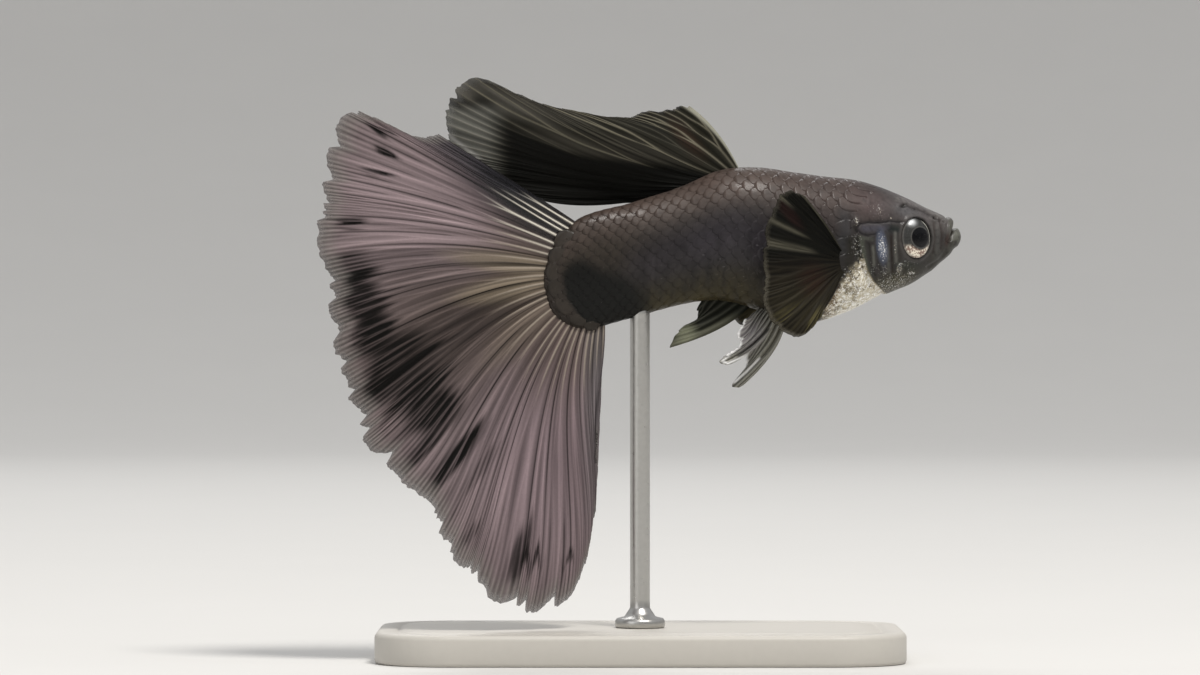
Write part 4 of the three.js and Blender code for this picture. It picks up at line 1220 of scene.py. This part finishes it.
def stand_base():
    long, wide, tall, corner = (BASE[k] for k in ("long", "wide", "tall", "corner"))
    steps = 20
    outline = []
    for sx, sy, begin in ((1, -1, -90), (1, 1, 0), (-1, 1, 90), (-1, -1, 180)):
        for i in range(steps + 1):
            a = math.radians(begin + 90.0 * i / steps)
            outline.append((sx * (long / 2 - corner), sy * (wide / 2 - corner), math.cos(a), math.sin(a)))
    cx, cy, ox, oy = np.array(outline).T
    # How far each ring lies outside the outline, and its height; the top has a shallow groove near its edge.
    edge = [(-0.35, 0.0), (-0.1, 0.06), (0.0, 0.3)]
    for i in range(9):
        a = 0.5 * math.pi * i / 8
        edge.append((BASE_ROUND * (math.cos(a) - 1.0), tall + BASE_ROUND * (math.sin(a) - 1.0)))
    edge += [(-1.6, tall), (-1.75, tall - GROOVE), (-2.0, tall - GROOVE), (-2.15, tall)]
    edge += [(-4.0, tall), (-5.9, tall)]
    rings = []
    for inset, height in edge:
        radius = corner + inset
        rings.append(np.stack([cx + radius * ox, cy + radius * oy, height + 0.0 * cx], -1))
    points, faces, _ = capped(np.stack(rings), (0.0, 0.0, 0.0), (0.0, 0.0, tall))
    return settle(mesh_piece("base_look", points, faces, paint(150, 147, 141)), "base", "stand_base")


rod, base = stand_rod(), stand_base()


# Materials.
def node(made, kind, inputs, **settings):
    """The outputs of a new shader node. Its inputs are numbers, or the outputs that feed them."""
    tree = made.node_tree
    fresh = tree.nodes.new("ShaderNode" + kind)
    for key, value in settings.items():
        setattr(fresh, key, value)
    for key, value in inputs.items():
        if isinstance(value, bpy.types.NodeSocket):
            tree.links.new(value, fresh.inputs[key])
        else:
            fresh.inputs[key].default_value = value
    return fresh.outputs


def mixed(made, factor, a, b, blend="MIX"):
    inputs = {"Factor": factor, "A": a, "B": b}
    return node(made, "Mix", inputs, data_type="RGBA", blend_type=blend)["Result"]


def scattered(made, painted, own, places):
    """Silver specks over the paint, as thick as the paint's fourth value says, from dull to bright."""
    grit = node(made, "TexNoise", {"Vector": places, "Scale": 12500.0, "Detail": 2.0})["Fac"]
    level = node(made, "Math", {0: own["Alpha"], 1: 0.42, 2: -0.76}, operation="MULTIPLY_ADD")["Value"]
    over = node(made, "Math", {0: grit, 1: level}, operation="ADD")["Value"]
    sharp = node(made, "Math", {0: over, 1: 8.0}, operation="MULTIPLY", use_clamp=True)["Value"]
    broad = node(made, "TexNoise", {"Vector": places, "Scale": 4000.0})["Fac"]
    bright = node(made, "MapRange", {"Value": broad, "From Min": 0.35, "From Max": 0.6})["Result"]
    dull_tone, bright_tone = (*paint(200, 192, 170, 1.0), 1.0), (*paint(252, 249, 240, 1.0), 1.0)
    return mixed(made, sharp, painted, mixed(made, bright, dull_tone, bright_tone))


def wear(
    pieces, name, roughness, coat=0.0, metallic=0.0, level=0.5, variation=0.1, cell=3500.0, bump=0.3,
    alpha=False, specks=False,
):
    """Gives pieces a material of their own paint, with fine grain in its colour, gloss and surface."""
    made = bpy.data.materials.new(name)
    made.use_nodes = True
    links = made.node_tree.links
    shader = made.node_tree.nodes["Principled BSDF"].inputs
    shader["Metallic"].default_value = metallic
    shader["Specular IOR Level"].default_value = level
    shader["Coat Weight"].default_value = coat
    shader["Coat Roughness"].default_value = 0.12
    own = node(made, "Attribute", {}, attribute_name="Colour")
    places = node(made, "TexCoord", {})["Object"]
    grain = node(made, "TexNoise", {"Vector": places, "Scale": cell, "Detail": 4.0})["Fac"]
    spread = {"Value": grain, "To Min": 1.0 - variation, "To Max": 1.0 + variation}
    colour = mixed(made, 1.0, own["Color"], node(made, "MapRange", spread)["Result"], "MULTIPLY")
    if specks:
        colour = scattered(made, colour, own, places)
    links.new(colour, shader["Base Color"])
    gloss = {"Value": grain, "To Min": roughness - 0.08, "To Max": roughness + 0.1}
    links.new(node(made, "MapRange", gloss)["Result"], shader["Roughness"])
    if bump:
        surface = node(made, "Bump", {"Strength": bump, "Distance": 0.00003, "Height": grain})
        links.new(surface["Normal"], shader["Normal"])
    if alpha:
        links.new(own["Alpha"], shader["Alpha"])
    for piece in pieces:
        piece.data.materials.clear()
        piece.data.materials.append(made)


wear([skin, *scale_pieces], "wet_skin", 0.42, coat=0.06, level=0.16, variation=0.16, bump=0.55, specks=True)
wear(fins, "fin", 0.6, level=0.08, cell=5000.0, alpha=True)
wear(eyes, "eye", 0.25, coat=0.2, level=0.14, variation=0.06, cell=6000.0, bump=0.05)
wear([rod], "brushed_rod", 0.3, metallic=1.0, cell=2500.0, bump=0.1)
wear([base], "satin_base", 0.5, cell=1500.0, variation=0.04, bump=0.15)

# Studio: a pale bowl, so that the ground has no edge from any side, soft lights and the camera.
FLAT_FLOOR = (300.0, 600.0, 800.0)
BOWL_WIDE, BOWL_TALL = 700.0, 500.0
LIGHT_TARGET = (0.0, 0.0, 0.03)
# Each light's name, place and width in metres, power in watts, and colour.
LIGHTS = [
    ("key", (0.2, -0.38, 0.72), 0.22, 5.8, (1.0, 0.97, 0.93)),
    ("fill", (-0.6, -0.7, 0.35), 0.6, 0.8, (1.0, 1.0, 1.0)),
    ("rim", (-0.1, 0.6, 0.7), 0.4, 2.2, (1.0, 1.0, 1.0)),
]


def studio_floor():
    profile = [(radius, 0.0) for radius in FLAT_FLOOR]
    for i in range(1, 17):
        a = 0.5 * math.pi * i / 16
        profile.append((FLAT_FLOOR[-1] + BOWL_WIDE * math.sin(a), BOWL_TALL * (1.0 - math.cos(a))))
    points, faces, _ = capped(rings_about_z(profile, 96), (0.0, 0.0, 0.0))
    floor = mesh_piece("floor", points, [face[::-1] for face in faces], paint(208, 207, 204, 1.0))
    wear([floor], "pale_floor", 0.8, cell=40.0, variation=0.015, bump=0.0, level=0.2)


def area_light(name, place, size, power, colour):
    data = bpy.data.lights.new(name, "AREA")
    data.shape = "DISK"
    data.size = size
    data.energy = power
    data.color = colour
    lamp = bpy.data.objects.new(name, data)
    lamp.location = place
    x, y, z = np.array(LIGHT_TARGET) - np.array(place)
    pitch = math.atan2(z, math.hypot(x, y))
    lamp.rotation_euler = (pitch + math.pi / 2, 0.0, math.atan2(y, x) - math.pi / 2)
    bpy.context.scene.collection.objects.link(lamp)


studio_floor()
for row in LIGHTS:
    area_light(*row)

world = bpy.data.worlds.new("world")
bpy.context.scene.world = world
world.use_nodes = True
world.node_tree.nodes["Background"].inputs["Color"].default_value = (0.98, 0.98, 1.0, 1.0)
world.node_tree.nodes["Background"].inputs["Strength"].default_value = 0.55

lens = bpy.data.cameras.new("camera")
lens.lens = 168.75
lens.sensor_width = 36.0
lens.clip_start = 0.02
lens.clip_end = 10.0
camera = bpy.data.objects.new("camera", lens)
camera.location = [value * MM for value in CAMERA_MM]
camera.rotation_euler = (math.pi / 2, 0.0, 0.0)
bpy.context.scene.collection.objects.link(camera)
bpy.context.scene.camera = camera
bpy.context.scene.view_settings.view_transform = "Standard"
